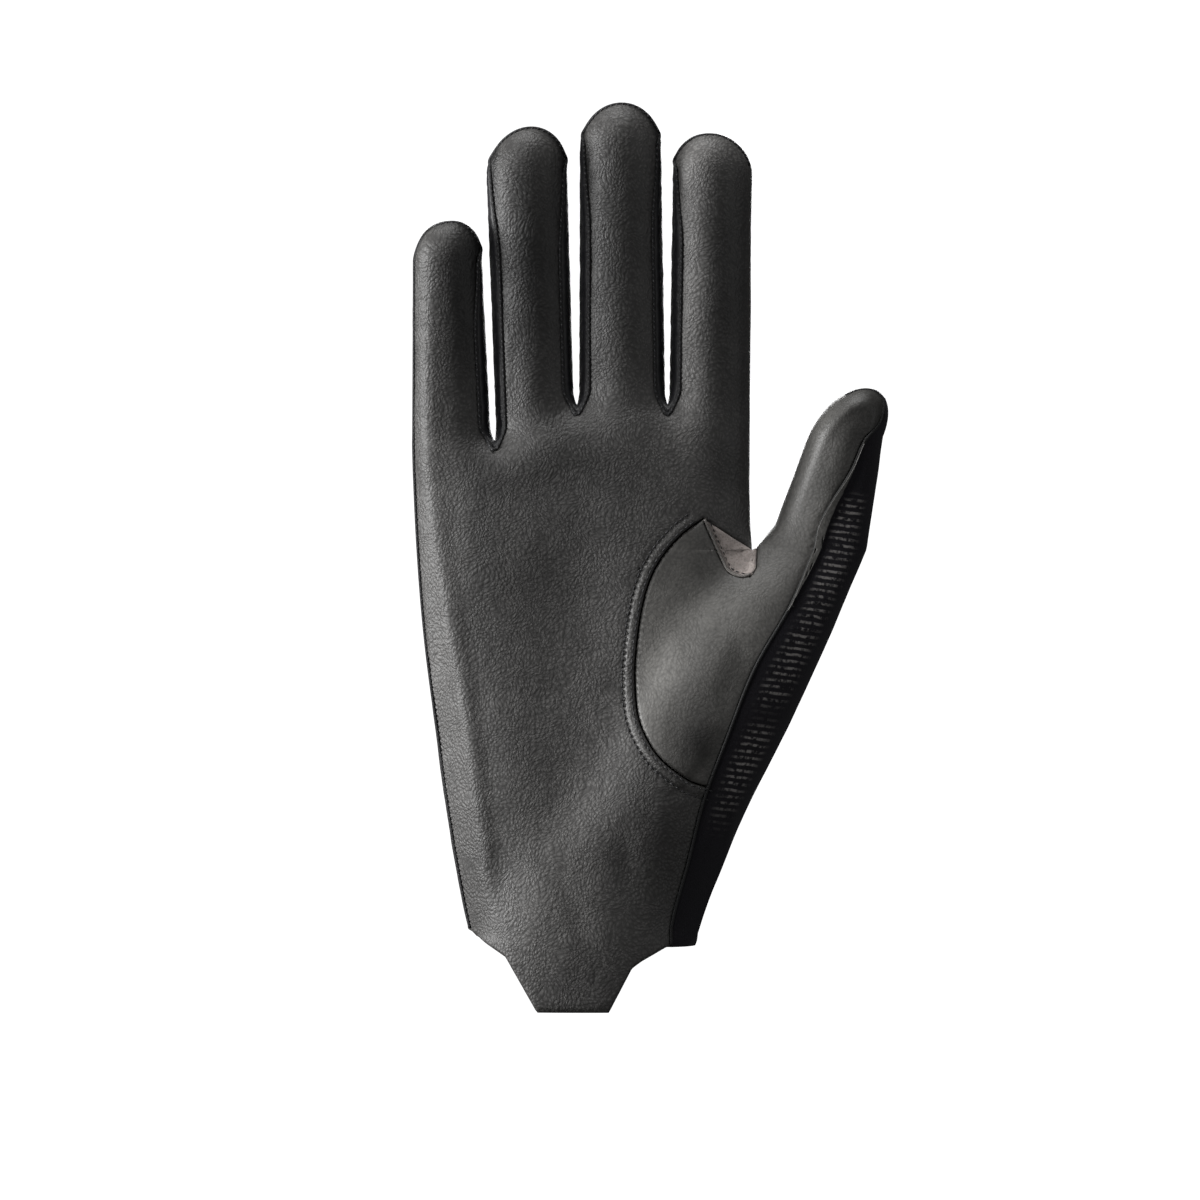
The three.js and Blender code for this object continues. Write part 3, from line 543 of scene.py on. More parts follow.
def face_grids():
    """The palm leather, the finger fronts and the thumb's leather, before the thumb is cut out."""
    grids = {}
    for digit in [*digits, thumb]:
        spans = THUMB_SPANS if digit is thumb else FINGER_SPANS
        heights = heights_of(digit, "front")
        rows = panel_grid(digit, heights, "front", spans)
        first = rows[0]
        tab_rows = 14
        k = (np.arange(tab_rows) / tab_rows)[:, None]
        z = lerp(hem_height(first[:, 0])[None, :], heights[0], k)
        tab = surface(np.broadcast_to(first[None, :, 0], z.shape), np.maximum(z, 0), "front")
        tab[..., 2] = z
        if digit is digits[0]:
            tab[:, 0, 1] = first[0, 1]
        grids[digit.name] = np.concatenate([tab, rows, outline_row(digit, rows[-1], "front")[None]], 0)
    grids["index wrap"] = strip_grid(index, thumb_fork, 1)
    grids["thumb wrap"] = strip_grid(thumb, thumb_fork, -1)
    return grids


def back_grids():
    grids = {}
    for digit in [*digits, thumb]:
        spans = THUMB_SPANS if digit is thumb else FINGER_SPANS
        at = np.concatenate([[-BACK_HEM, 0, 2], heights_of(digit, "back")])
        z = np.maximum(at, 0)
        rows = panel_grid(digit, z, "back", spans, at)[:, ::-1]
        if digit is thumb:
            count = 20
            v = (1 - np.arange(count) / count)[None, :] ** 2
            edge, seam = rows[:, 0], side_seam(z) + HALF_GAP
            x = lerp(edge[:, None, 0], seam[:, None], v)
            strip = surface(x, np.broadcast_to(z[:, None], x.shape), "front", edge[:, None, 1])
            strip[..., 2] = at[:, None]
            strip = np.concatenate([strip[:, :1] + SEAM_TUCK, strip], 1)
            strip = np.where((thumb_strip(z) > 0.01)[:, None, None], strip, edge[:, None, :])
            rows = np.concatenate([strip, rows], 1)
        if digit is digits[0]:
            low = rows[:3]
            low[..., 2] = np.maximum(low[..., 2], np.minimum(hem_height(low[..., 0]) + 0.4, 3.4))
        grids[digit.name] = np.concatenate([rows, outline_row(digit, rows[-1], "back")[None]], 0)
    return grids


# Meshes
def weld(grids):
    """Joins grids where their points meet. Returns points and triangles."""
    points, tris, start = [], [], 0
    for rows in grids:
        r, c = rows.shape[:2]
        ids = start + np.arange(r * c).reshape(r, c)
        a, b, d, e = ids[:-1, :-1], ids[:-1, 1:], ids[1:, 1:], ids[1:, :-1]
        tris.append(np.stack([a, b, d], -1).reshape(-1, 3))
        tris.append(np.stack([a, d, e], -1).reshape(-1, 3))
        points.append(rows.reshape(-1, 3))
        start += r * c
    points, tris = np.concatenate(points), np.concatenate(tris)
    keys = np.round(points * 500 + 0.137).astype(np.int64)
    _, first, same = np.unique(keys, axis=0, return_index=True, return_inverse=True)
    tris = same.reshape(-1)[tris]
    whole = (tris[:, 0] != tris[:, 1]) & (tris[:, 1] != tris[:, 2]) & (tris[:, 2] != tris[:, 0])
    return points[first], tris[whole]


def split(points, tris, field, level):
    """Cuts triangles along the line where a field of x and z takes a level."""
    value = field(points) - level
    value = np.where(np.abs(value) < 1e-3, 1e-3, value)
    above = value > 0
    mixed = above[tris].any(1) & ~above[tris].all(1)
    extra, made, found = [], [], {}

    def middle(i, j):
        key = (min(i, j), max(i, j))
        if key not in found:
            t = value[i] / (value[i] - value[j])
            found[key] = len(points) + len(extra)
            extra.append(points[i] + (points[j] - points[i]) * t)
        return found[key]

    for tri in tris[mixed]:
        side = above[tri]
        lone = int(np.argmax(side == (side.sum() == 1)))
        a, b, c = (int(v) for v in np.roll(tri, -lone))
        p, q = middle(a, b), middle(a, c)
        made += [(a, p, q), (p, b, c), (p, c, q)]
    if not extra:
        return points, tris
    return np.concatenate([points, extra]), np.concatenate([tris[~mixed], np.array(made)])


def pick(points, tris, keep):
    """The chosen triangles, with only their own points."""
    tris = tris[keep]
    used, same = np.unique(tris, return_inverse=True)
    return points[used], same.reshape(-1, 3)


def normals_of(points, tris):
    a, b, c = (points[tris[:, k]] for k in range(3))
    face = np.cross(b - a, c - a)
    total = np.zeros_like(points)
    for k in range(3):
        np.add.at(total, tris[:, k], face)
    for _ in range(3):  # evened out, so that no sliver of a triangle throws its points out
        normal = total / np.maximum(np.linalg.norm(total, axis=1, keepdims=True), 1e-12)
        total = np.zeros_like(points)
        for k in range(3):
            np.add.at(total, tris[:, k], normal[tris].sum(1))
    return total / np.maximum(np.linalg.norm(total, axis=1, keepdims=True), 1e-12)


def open_edges(tris):
    """Edges with one triangle, each in its triangle's order."""
    pairs = np.concatenate([tris[:, [0, 1]], tris[:, [1, 2]], tris[:, [2, 0]]])
    _, same, count = np.unique(np.sort(pairs, 1), axis=0, return_inverse=True, return_counts=True)
    return pairs[count[same.reshape(-1)] == 1]


def smooth_line(table, steps=6):
    """A round curve through the points of a table, by the Catmull-Rom rule."""
    p = np.concatenate([[2 * table[0] - table[1]], table, [2 * table[-1] - table[-2]]])
    out = []
    for i in range(1, len(p) - 2):
        for t in np.arange(steps) / steps:
            out.append(0.5 * (2 * p[i] + (p[i + 1] - p[i - 1]) * t
                + (2 * p[i - 1] - 5 * p[i] + 4 * p[i + 1] - p[i + 2]) * t**2
                              + (3 * p[i] - p[i - 1] - 3 * p[i + 1] + p[i + 2]) * t**3))
    return np.array([*out, p[-2]])


def along_line(line, x, z):
    """Distance from a polyline and the share of its length at the nearest point."""
    line = np.asarray(line, float)
    lengths = np.concatenate([[0], np.cumsum(np.hypot(*np.diff(line, axis=0).T))])
    best, where = np.full(x.shape, 1e9), np.zeros(x.shape)
    for i, ((ax, az), (bx, bz)) in enumerate(zip(line[:-1], line[1:])):
        ux, uz = bx - ax, bz - az
        t = np.clip(((x - ax) * ux + (z - az) * uz) / max(ux * ux + uz * uz, 1e-12), 0, 1)
        d = np.hypot(x - ax - t * ux, z - az - t * uz)
        where = np.where(d < best, (lengths[i] + t * (lengths[i + 1] - lengths[i])) / lengths[-1], where)
        best = np.minimum(best, d)
    return best, where


def distance_to(line, x, z):
    """Distance from points to a polyline of x and z."""
    return along_line(line, x, z)[0]


def inside(ring, x, z):
    """Whether points lie in a closed ring of x and z."""
    found = np.zeros(x.shape, bool)
    for (ax, az), (bx, bz) in zip(ring, np.roll(ring, -1, 0)):
        cross = (az > z) != (bz > z)
        at = ax + (z - az) * (bx - ax) / (bz - az if bz != az else 1e-12)
        found ^= cross & (x < at)
    return found


def signed(ring):
    """A field: the distance to a ring's line, positive inside it."""
    closed = np.concatenate([ring, ring[:1]])

    def field(points):
        x, z = points[:, 0], points[:, 2]
        return distance_to(closed, x, z) * np.where(inside(ring, x, z), 1, -1)

    return field


def shares(table):
    return np.array(table) * [PALM_BREADTH, PALM_HEIGHT]


SEAM_LINE = smooth_line(shares(THUMB_SEAM))
GUSSET_RING = shares(GUSSET)
THUMB_RING = np.concatenate([SEAM_LINE, shares([(1.2, 0.3), (1.2, 1.3), (0.4966, 1.3)]), GUSSET_RING[2:]])


# Relief of the leather and fabric
def fbm(points, scale, octaves=3, stretch_=(1, 1, 1)):
    """Soft noise from -1 to 1 at points, by octaves; scale is its largest form in millimetres."""
    q = points / (scale * np.array(stretch_, float))
    total = np.zeros(len(points))
    for k in range(octaves):
        total += np.array([noise.noise(Vector(p)) for p in q * 2**k]) / 2**k
    return total


# Creases pressed into the leather: the line in shares of breadth and height, width and depth in mm.
CREASES = [
    dict(line=[(0.378, 0.385), (0.31, 0.315), (0.24, 0.285)], width=1.6, depth=0.45),
    dict(line=[(-0.33, 0.44), (-0.26, 0.25), (-0.235, 0.1), (-0.2, -0.02)], width=6.5, depth=0.7),
    dict(line=[(0.2, 0.3), (0.12, 0.2), (0.14, 0.06), (0.2, -0.05)], width=4.5, depth=0.7),
    dict(line=[(-0.1, 0.16), (-0.02, 0.06), (0.02, -0.04)], width=2.6, depth=0.3),
    dict(line=[(0.38, 0.885), (0.41, 0.83), (0.47, 0.79)], width=1.3, depth=0.4),
    dict(line=[(0.5, 0.62), (0.42, 0.5), (0.36, 0.44)], width=4.0, depth=0.6),
]
# Short cross creases on the flanks of fingers: x and heights in shares, how many, length in mm.
FLANK_CREASES = [
    dict(x=-0.47, low=1.1, high=1.28, count=8, length=9, depth=0.13),
    dict(x=0.02, low=1.32, high=1.55, count=9, length=8, depth=0.14),
    dict(x=-0.225, low=1.25, high=1.34, count=4, length=6, depth=0.14),
]


# The leather turns in towards the outer seam over a firm shoulder: height, distance from the
# outline in mm, and how high the shoulder stands there.
SHOULDER = np.array([
    (0.0, 6.5, 0.4), (0.2, 8.5, 0.9), (0.5, 9.0, 1.25), (0.75, 6.5, 1.2), (0.95, 5.0, 0.9), (1.2, 4.4, 0.5),
    (1.42, 4.0, 0.3),
])
SHOULDER_WIDTH = 2.6


def left_outline(z):
    """x of the glove's left outline: the palm's, and above it the little finger's."""
    finger = digits[0].shape(np.minimum(z, digits[0].base))
    return np.where(z > PALM_HEIGHT, finger["x"] - finger["half"], palm_left(z))


def leather_relief(points):
    """Height of the leather over its plain form, in millimetres."""
    x, z = points[:, 0], points[:, 2]
    relief = 0.16 * fbm(points, 16, 3, (0.8, 1, 1.2)) + 0.05 * fbm(points + 31, 4.5, 2, (0.7, 1, 1.6))
    h = z / PALM_HEIGHT
    outer = left_outline(z)
    at, high = np.interp(h, SHOULDER[:, 0], SHOULDER[:, 1]), np.interp(h, SHOULDER[:, 0], SHOULDER[:, 2])
    relief = relief + high * np.exp(-(((x - outer - at) / SHOULDER_WIDTH) ** 2)) * smooth(h, 0.02, 0.15)
    for crease in CREASES:
        d, t = along_line(shares(crease["line"]), x, z)
        fade = np.sin(np.pi * np.clip(t, 0, 1)) ** 0.7
        relief = relief - crease["depth"] * fade * (np.exp(-(d / crease["width"]) ** 2)
            - 0.5 * np.exp(-(d / (2.2 * crease["width"])) ** 2))
    for i, row in enumerate(FLANK_CREASES):
        cx = row["x"] * PALM_BREADTH
        for k in range(row["count"]):
            h = lerp(row["low"], row["high"], (k + 0.5) / row["count"]) * PALM_HEIGHT
            wave = 0.7 * math.sin(2.1 * k + i)
            h = h + wave + 0.12 * (x - cx) * math.cos(1.7 * k)
            across = np.exp(-((x - cx - 0.3 * wave) / (row["length"] / 2)) ** 2)
            relief = relief - row["depth"] * across * np.exp(-((z - h) / 0.55) ** 2)
    return relief


# The welt of the palm leather beside the thumb seam: distance from the seam and height, in mm.
WELT = np.array([
    (0.0, -0.6), (0.1, -0.25), (0.25, 0.02), (0.5, 0.2), (1.2, 0.3), (1.9, 0.3), (2.35, 0.12), (2.7, -0.2),
    (3.2, -0.12), (4.2, 0),
])
TUCK = np.array([(0.0, -0.7), (0.2, -0.35), (0.5, -0.14), (1.2, -0.04), (3.0, 0), (5.0, 0)])
ROLL = np.array([(0.0, -0.5), (0.12, -0.3), (0.35, -0.12), (0.8, 0)])


def seam_fade(points):
    """How strong the welt is: it runs out at both ends of the thumb seam."""
    _, t = along_line(SEAM_LINE, points[:, 0], points[:, 2])
    return smooth(t, 0, 0.05) * (1 - smooth(t, 0.86, 0.99))


def edge_distance(points, tris):
    """Distance of every point from the nearest open edge of its sheet."""
    rim = np.unique(open_edges(tris))
    tree = kdtree.KDTree(len(rim))
    for k, i in enumerate(rim):
        tree.insert(Vector(points[i]), k)
    tree.balance()
    return np.array([tree.find(Vector(p))[2] for p in points])


def thicken(name, points, tris, wall, relief=None, roll=ROLL):
    """Makes the walled mesh of an open sheet, with its edges rolled in."""
    normal = normals_of(points, tris)
    height = np.zeros(len(points)) if relief is None else relief
    near = edge_distance(points, tris)
    height = height + np.interp(near, roll[:, 0], roll[:, 1])
    outer = points + normal * height[:, None]
    inner = points - normal * wall
    n = len(points)
    rim = open_edges(tris)
    sides = np.concatenate([np.stack([rim[:, 1], rim[:, 0], rim[:, 0] + n], -1),
        np.stack([rim[:, 1], rim[:, 0] + n, rim[:, 1] + n], -1)])
    all_tris = np.concatenate([tris, tris[:, ::-1] + n, sides])
    return make_object(name, np.concatenate([outer, inner]), all_tris)


def make_object(name, points, faces):
    mesh = bpy.data.meshes.new(name)
    mesh.from_pydata((np.asarray(points) * MM).tolist(), [], [tuple(map(int, f)) for f in faces])
    mesh.validate()
    mesh.shade_smooth()
    obj = bpy.data.objects.new(name, mesh)
    bpy.context.scene.collection.objects.link(obj)
    return obj


def set_attribute(obj, name, values):
    data = obj.data.attributes.new(name, "FLOAT", "POINT")
    data.data.foreach_set("value", np.asarray(values, np.float32))


# Threads
def resample(path, pitch):
    """Points at an even pitch along a path, with the direction there."""
    path = np.asarray(path, float)
    step = np.linalg.norm(np.diff(path, axis=0), axis=1)
    keep = np.concatenate([[True], step > 1e-6])
    path = path[keep]
    total = np.concatenate([[0], np.cumsum(np.linalg.norm(np.diff(path, axis=0), axis=1))])
    at = np.arange(pitch / 2, total[-1], pitch)
    out = np.stack([np.interp(at, total, path[:, k]) for k in range(path.shape[1])], -1)
    ahead = np.stack([np.interp(np.minimum(at + 0.3, total[-1]), total, path[:, k])
        for k in range(path.shape[1])], -1)
    back = np.stack([np.interp(np.maximum(at - 0.3, 0), total, path[:, k]) for k in range(path.shape[1])], -1)
    way = ahead - back
    return out, way / np.maximum(np.linalg.norm(way, axis=1, keepdims=True), 1e-9)


def tube(path, radius, sides=8, normal=None, flat=1.0):
    """Points and faces of a closed tube along a path; radius may vary along it."""
    path = np.asarray(path, float)
    radius = np.broadcast_to(np.asarray(radius, float), (len(path),))
    way = np.gradient(path, axis=0)
    way /= np.maximum(np.linalg.norm(way, axis=1, keepdims=True), 1e-9)
    up = np.array([0.0, -1.0, 0.0]) if normal is None else np.asarray(normal, float)
    up = np.broadcast_to(up, path.shape)
    side = np.cross(way, up)
    side /= np.maximum(np.linalg.norm(side, axis=1, keepdims=True), 1e-9)
    up = np.cross(side, way)
    turn = np.arange(sides) * 2 * np.pi / sides
    ring = side[:, None] * np.cos(turn)[None, :, None] + flat * up[:, None] * np.sin(turn)[None, :, None]
    points = (path[:, None] + ring * radius[:, None, None]).reshape(-1, 3)
    n = len(path)
    i, j = np.meshgrid(np.arange(n - 1), np.arange(sides), indexing="ij")
    a, b = i * sides + j, i * sides + (j + 1) % sides
    quads = np.stack([a, b, b + sides, a + sides], -1).reshape(-1, 4)
    faces = [tuple(q) for q in quads.tolist()]
    faces += [tuple(range(sides))[::-1], tuple(range((n - 1) * sides, n * sides))]
    return points, faces


def join_tubes(name, tubes):
    points, faces, start = [], [], 0
    for p, f in tubes:
        points.append(p)
        faces += [tuple(i + start for i in face) for face in f]
        start += len(p)
    return make_object(name, np.concatenate(points), faces)


def stitches(path, normal, pitch, length, radius, lift, slant=0.0):
    """Short threads along a path of points; slant turns each across the line, in radians."""
    at, way = resample(np.hstack([path, normal]), pitch)
    out = []
    for row, d in zip(at, way):
        p, n, d = row[:3], row[3:], d[:3]
        n, d = n / max(np.linalg.norm(n), 1e-9), d / max(np.linalg.norm(d), 1e-9)
        across = np.cross(n, d)
        d = d * math.cos(slant) + across * math.sin(slant)
        t = np.linspace(-1, 1, 5)[:, None]
        arc = p + d * t * length / 2 + n * (lift * (1 - t**2) - 0.35 * radius * t**4 * 2)
        out.append(tube(arc, radius * np.array([0.55, 0.95, 1, 0.95, 0.55]), 6, n))
    return out


# Materials
class Tree:
    """Short way to build a node material."""

    def __init__(self, name):
        self.material = bpy.data.materials.new(name)
        self.material.use_nodes = True
        self.nodes, self.links = self.material.node_tree.nodes, self.material.node_tree.links
        self.shader = self.nodes["Principled BSDF"]
        self.object = self.add("ShaderNodeTexCoord").outputs["Object"]

    def add(self, kind, inputs=None, **props):
        node = self.nodes.new(kind)
        for key, value in props.items():
            setattr(node, key, value)
        for key, value in (inputs or {}).items():
            self.set(node.inputs[key], value)
        return node

    def set(self, socket, value):
        if hasattr(value, "is_output"):
            self.links.new(value, socket)
        else:
            socket.default_value = value

    def place(self, scale=(1, 1, 1), turn=(0, 0, 0)):
        """Object coordinates in millimetres, scaled and turned."""
        node = self.add("ShaderNodeMapping", {"Vector": self.object,
            "Scale": tuple(1000 * s for s in scale), "Rotation": turn})
        return node.outputs["Vector"]

    def noise(self, where, scale, detail=3, rough=0.55, distort=0):
        return self.add("ShaderNodeTexNoise", {"Vector": where, "Scale": scale, "Detail": detail,
            "Roughness": rough, "Distortion": distort}).outputs["Fac"]

    def voronoi(self, where, scale, feature="F1", random=1.0, out="Distance"):
        return self.add("ShaderNodeTexVoronoi", {"Vector": where, "Scale": scale, "Randomness": random},
            feature=feature).outputs[out]

    def math(self, operation, a, b=0.0, c=None, clamp=False):
        node = self.add("ShaderNodeMath", operation=operation, use_clamp=clamp)
        self.set(node.inputs[0], a)
        self.set(node.inputs[1], b)
        if c is not None:
            self.set(node.inputs[2], c)
        return node.outputs[0]

    def ramp(self, value, low, high, to_low=0.0, to_high=1.0):
        return self.add("ShaderNodeMapRange", {"Value": value, "From Min": low, "From Max": high,
            "To Min": to_low, "To Max": to_high}, interpolation_type="SMOOTHSTEP").outputs["Result"]

    def mix(self, share, a, b):
        node = self.add("ShaderNodeMix", data_type="RGBA")
        self.set(node.inputs[0], share)
        self.set(node.inputs[6], a)
        self.set(node.inputs[7], b)
        return node.outputs[2]

    def shade(self, colour, factor):
        """A colour times a number."""
        node = self.add("ShaderNodeMix", data_type="RGBA", blend_type="MULTIPLY")
        self.set(node.inputs[0], 1.0)
        self.set(node.inputs[6], colour)
        grey = self.add("ShaderNodeCombineColor")
        for k in range(3):
            self.set(grey.inputs[k], factor)
        self.set(node.inputs[7], grey.outputs[0])
        return node.outputs[2]

    def bump(self, height, distance, strength=1.0, normal=None):
        node = self.add("ShaderNodeBump", {"Height": height, "Distance": distance * MM, "Strength": strength})
        if normal is not None:
            self.set(node.inputs["Normal"], normal)
        return node.outputs["Normal"]

    def finish(self, **sockets):
        for key, value in sockets.items():
            self.set(self.shader.inputs[key.replace("_", " ")], value)
        return self.material


def rgb(hex_, gain=1.0):
    """A colour named by its eight-bit values, as the linear one that a shader takes."""
    values = [int(hex_[k:k + 2], 16) / 255 for k in (0, 2, 4)]
    return tuple(gain * (v / 12.92 if v <= 0.04045 else ((v + 0.055) / 1.055) ** 2.4)
        for v in values) + (1.0,)


def leather(name, colour, grain=1.0, roughness=0.5, crease=1.0, pebble=1.0):
    """Fine-grained leather: pebbles under a millimetre across and creases that run slantwise."""
    t = Tree(name)
    here = t.place()
    warp = t.add("ShaderNodeTexNoise", {"Vector": here, "Scale": 0.12, "Detail": 1.0}).outputs["Color"]
    bent = t.add("ShaderNodeVectorMath", {0: warp, 1: (5, 5, 5), 2: here},
        operation="MULTIPLY_ADD").outputs[0]

    def strokes(angle, across, along):
        turned = t.add("ShaderNodeMapping", {"Vector": bent,
            "Rotation": (0, math.radians(-angle), 0)}).outputs["Vector"]
        drawn = t.add("ShaderNodeMapping", {"Vector": turned,
            "Scale": (grain / across, 1 / across, grain / along)}).outputs["Vector"]
        ridge = t.math("ABSOLUTE", t.math("SUBTRACT", t.noise(drawn, 1.0, 2, 0.6), 0.5))
        return t.ramp(ridge, 0.0, 0.16)

    mask = t.ramp(t.noise(here, 0.035, 1), 0.42, 0.58)
    one, two = strokes(38, 0.8, 2.2), strokes(-12, 0.9, 2.4)
    flow = t.math("ADD", one, t.math("MULTIPLY", t.math("SUBTRACT", two, one), mask))
    cells = t.voronoi(bent, 1.3 * grain)
    height = t.math("ADD", t.math("MULTIPLY", flow, 0.13 * crease), t.math("MULTIPLY", cells, -0.95 * pebble))
    # painted light and shade, set on each mesh as an attribute, scale the leather's colour
    painted_light_shade = t.add("ShaderNodeAttribute", attribute_name="painted_light_shade").outputs["Fac"]
    # painted shade in the hollows of the grain and painted light on its tops, from the height of the grain
    painted_grain_shade = t.ramp(height, -0.6, 0.1, 0.6, 1.25)
    worn = t.ramp(t.noise(here, 0.09, 3, 0.6), 0.3, 0.7, 0.88, 1.12)
    return t.finish(
        Base_Color=t.shade(colour, t.math("MULTIPLY", t.math("MULTIPLY", painted_grain_shade, worn), painted_light_shade)),
        Roughness=roughness,
        Normal=t.bump(height, 0.16), Specular_IOR_Level=0.32,
    )


def suede(name, colour):
    t = Tree(name)
    here = t.place()
    nap = t.noise(here, 2.2, 5, 0.7)
    patches = t.ramp(t.noise(here, 0.35, 3), 0.35, 0.65, 0.75, 1.2)
    flecks = t.ramp(t.voronoi(here, 1.7), 0.1, 0.6, 0.8, 1.15)
    normal = t.bump(nap, 0.25, 0.8)
    return t.finish(Base_Color=t.shade(colour, t.math("MULTIPLY", patches, flecks)), Roughness=0.92,
        Normal=normal, Sheen_Weight=0.25, Sheen_Roughness=0.5, Specular_IOR_Level=0.2)


def ribbed_fabric(name, colour, rib_colour):
    """Black stretch knit with rows of short raised ribs that run across the thumb side."""
    t = Tree(name)
    turned = t.place((1, 1, 1), (0, math.radians(-8), 0))
    axes = t.add("ShaderNodeSeparateXYZ", {"Vector": turned})
    z = axes.outputs["Z"]
    wobble = t.math("MULTIPLY", t.noise(t.place((0.2, 0.2, 0.2)), 1.0, 2), 1.2)
    phase = t.math("FRACT", t.math("ADD", t.math("DIVIDE", z, RIB_PITCH), t.math("MULTIPLY", wobble, 0.4)))
    rib = t.ramp(t.math("ABSOLUTE", t.math("SUBTRACT", phase, 0.5)), 0.12, 0.28, 1.0, 0.0)
    beads = t.ramp(t.noise(t.place((0.75, 0.75, 0.6)), 1.0, 2), 0.36, 0.6)
    ribs = t.add("ShaderNodeAttribute", attribute_name="ribs").outputs["Fac"]
    shown = t.math("MULTIPLY", t.math("MULTIPLY", rib, beads), ribs)
    knit = t.voronoi(t.place((1, 1, 0.7)), 1.9, random=0.35)
    fuzz = t.noise(t.place(), 2.6, 4, 0.65)
    normal = t.bump(t.math("MULTIPLY", rib, ribs), 0.25, 0.7)
    normal = t.bump(knit, 0.14, 0.7, normal)
    normal = t.bump(fuzz, 0.08, 0.6, normal)
    base = t.shade(colour, t.ramp(fuzz, 0.3, 0.7, 0.7, 1.25))
    return t.finish(Base_Color=t.mix(shown, base, rib_colour), Roughness=0.95, Normal=normal,
        Specular_IOR_Level=0.12, Sheen_Weight=0.05, Sheen_Roughness=0.5)


def thread(name, colour, roughness=0.6):
    t = Tree(name)
    here = t.place()
    twist = t.add("ShaderNodeTexWave", {"Vector": here, "Scale": 1.1, "Distortion": 1.5},
        bands_direction="DIAGONAL").outputs["Fac"]
    return t.finish(Base_Color=t.shade(colour, t.ramp(twist, 0, 1, 0.7, 1.1)), Roughness=roughness,
        Normal=t.bump(twist, 0.08, 0.7))


RIB_PITCH = 1.75  # between the rows of ribs


# Pieces
# Painted light and shade on the leather: spots painted lighter as highlights or darker as shade, centre and
# half sizes in shares, strength.
PAINTED_LIGHT_AND_SHADE = [
    # painted highlight along the heel of the hand
    dict(name="worn heel of the hand", x=-0.42, h=0.5, wide=0.08, tall=0.4, gain=0.3),
    dict(name="hollow beside the heel", x=-0.31, h=0.76, wide=0.06, tall=0.28, gain=-0.45),
    dict(name="little finger, middle", x=-0.35, h=1.27, wide=0.08, tall=0.2, gain=-0.65),
    dict(name="ring finger", x=-0.18, h=1.34, wide=0.17, tall=0.25, gain=-0.8),
    dict(name="middle finger, left", x=0.03, h=1.4, wide=0.1, tall=0.27, gain=-0.6),
    dict(name="middle finger, right", x=0.18, h=1.4, wide=0.08, tall=0.25, gain=-0.35),
    dict(name="index, outer half", x=0.42, h=1.28, wide=0.08, tall=0.35, gain=-0.6),
    dict(name="index, inner half", x=0.31, h=1.3, wide=0.055, tall=0.4, gain=0.7),
    dict(name="index tip", x=0.37, h=1.6, wide=0.14, tall=0.08, gain=1.0),
    dict(name="middle tip", x=0.11, h=1.67, wide=0.12, tall=0.07, gain=0.6),
    dict(name="ring tip", x=-0.16, h=1.61, wide=0.12, tall=0.07, gain=0.4),
    dict(name="little tip", x=-0.4, h=1.43, wide=0.1, tall=0.06, gain=0.2),
    dict(name="index root", x=0.26, h=0.95, wide=0.12, tall=0.12, gain=0.3),
    dict(name="palm, high", x=-0.1, h=0.95, wide=0.3, tall=0.12, gain=-0.15),
    dict(name="palm, middle", x=-0.05, h=0.5, wide=0.25, tall=0.3, gain=0.3),
    dict(name="palm, low", x=-0.03, h=0.22, wide=0.13, tall=0.15, gain=0.4),
    dict(name="wrist", x=-0.05, h=0.03, wide=0.15, tall=0.08, gain=0.45),
    dict(name="low on the left", x=-0.3, h=0.15, wide=0.08, tall=0.1, gain=-0.25),
    dict(name="below the wrist seam", x=0.24, h=0.17, wide=0.1, tall=0.13, gain=-0.5),
    dict(name="thenar, left", x=0.22, h=0.6, wide=0.07, tall=0.15, gain=0.7),
    dict(name="thenar, high", x=0.4, h=0.66, wide=0.15, tall=0.07, gain=0.1),
    dict(name="thenar, right", x=0.52, h=0.6, wide=0.08, tall=0.06, gain=0.4),
    dict(name="thenar, low", x=0.34, h=0.4, wide=0.07, tall=0.07, gain=-0.75),
    dict(name="thumb, middle", x=0.76, h=0.86, wide=0.06, tall=0.2, gain=-0.3),
    dict(name="thumb tip", x=0.86, h=1.05, wide=0.1, tall=0.08, gain=-0.6),
]
# The sewn edge of the leather is dark, and it is painted wider on the right of a fingertip as shade on the
# unlit side: how wide in mm on the left and the right of a fingertip.
DARK_EDGE_LEFT, DARK_EDGE_RIGHT = 0.9, 1.8


def painted_light_and_shade_of(points):
    # painted light and shade: the spots raise or lower the leather's colour
    x, h = points[:, 0] / PALM_BREADTH, points[:, 2] / PALM_HEIGHT
    painted_light_shade = np.ones(len(points))
    for spot in PAINTED_LIGHT_AND_SHADE:
        painted_light_shade += spot["gain"] * np.exp(-((x - spot["x"]) / spot["wide"]) ** 2
            - ((h - spot["h"]) / spot["tall"]) ** 2)
    return np.clip(painted_light_shade, 0.15, 2.6)


def dark_seam_and_painted_shade(points):
    """Share of the leather's colour left beside the seam round the fingers, seen from the palm: a dark seam
    edge, painted wider on the right of a fingertip as shade on its unlit side.
    """
    x, z = points[:, 0], points[:, 2]
    left = np.ones(len(points))
    for digit in digits:
        k = (x - digit.shape(np.clip(z, digit.base, digit.tip))["x"]) / digit.half_base
        up = (z - digit.base) / digit.cap
        near = (1 - np.hypot(k, np.maximum(up, 0))) * digit.half_base
        # the dark band is wider on the right: painted shade on the unlit side of the finger
        width = lerp(DARK_EDGE_LEFT, DARK_EDGE_RIGHT, smooth(k, -0.2, 0.6))
        seam = 1 - smooth(k, -0.5, 0.2) if digit is index else 1 - 0.75 * np.exp(-((k / 0.35) ** 2))
        own = seam * smooth(up, -0.5, 0.1) * (np.abs(k) < 1.3)
        left = left * (1 - 0.88 * own * (1 - smooth(near, 0.6 * width, width)))
    little, outline = digits[0], left_outline(z)
    own = smooth(z, 6, 20) * (1 - smooth(z, little.base - 2, little.base + 1))
    return left * (1 - 0.88 * own * (1 - smooth(x - outline, 0.5 * DARK_EDGE_LEFT, DARK_EDGE_LEFT)))


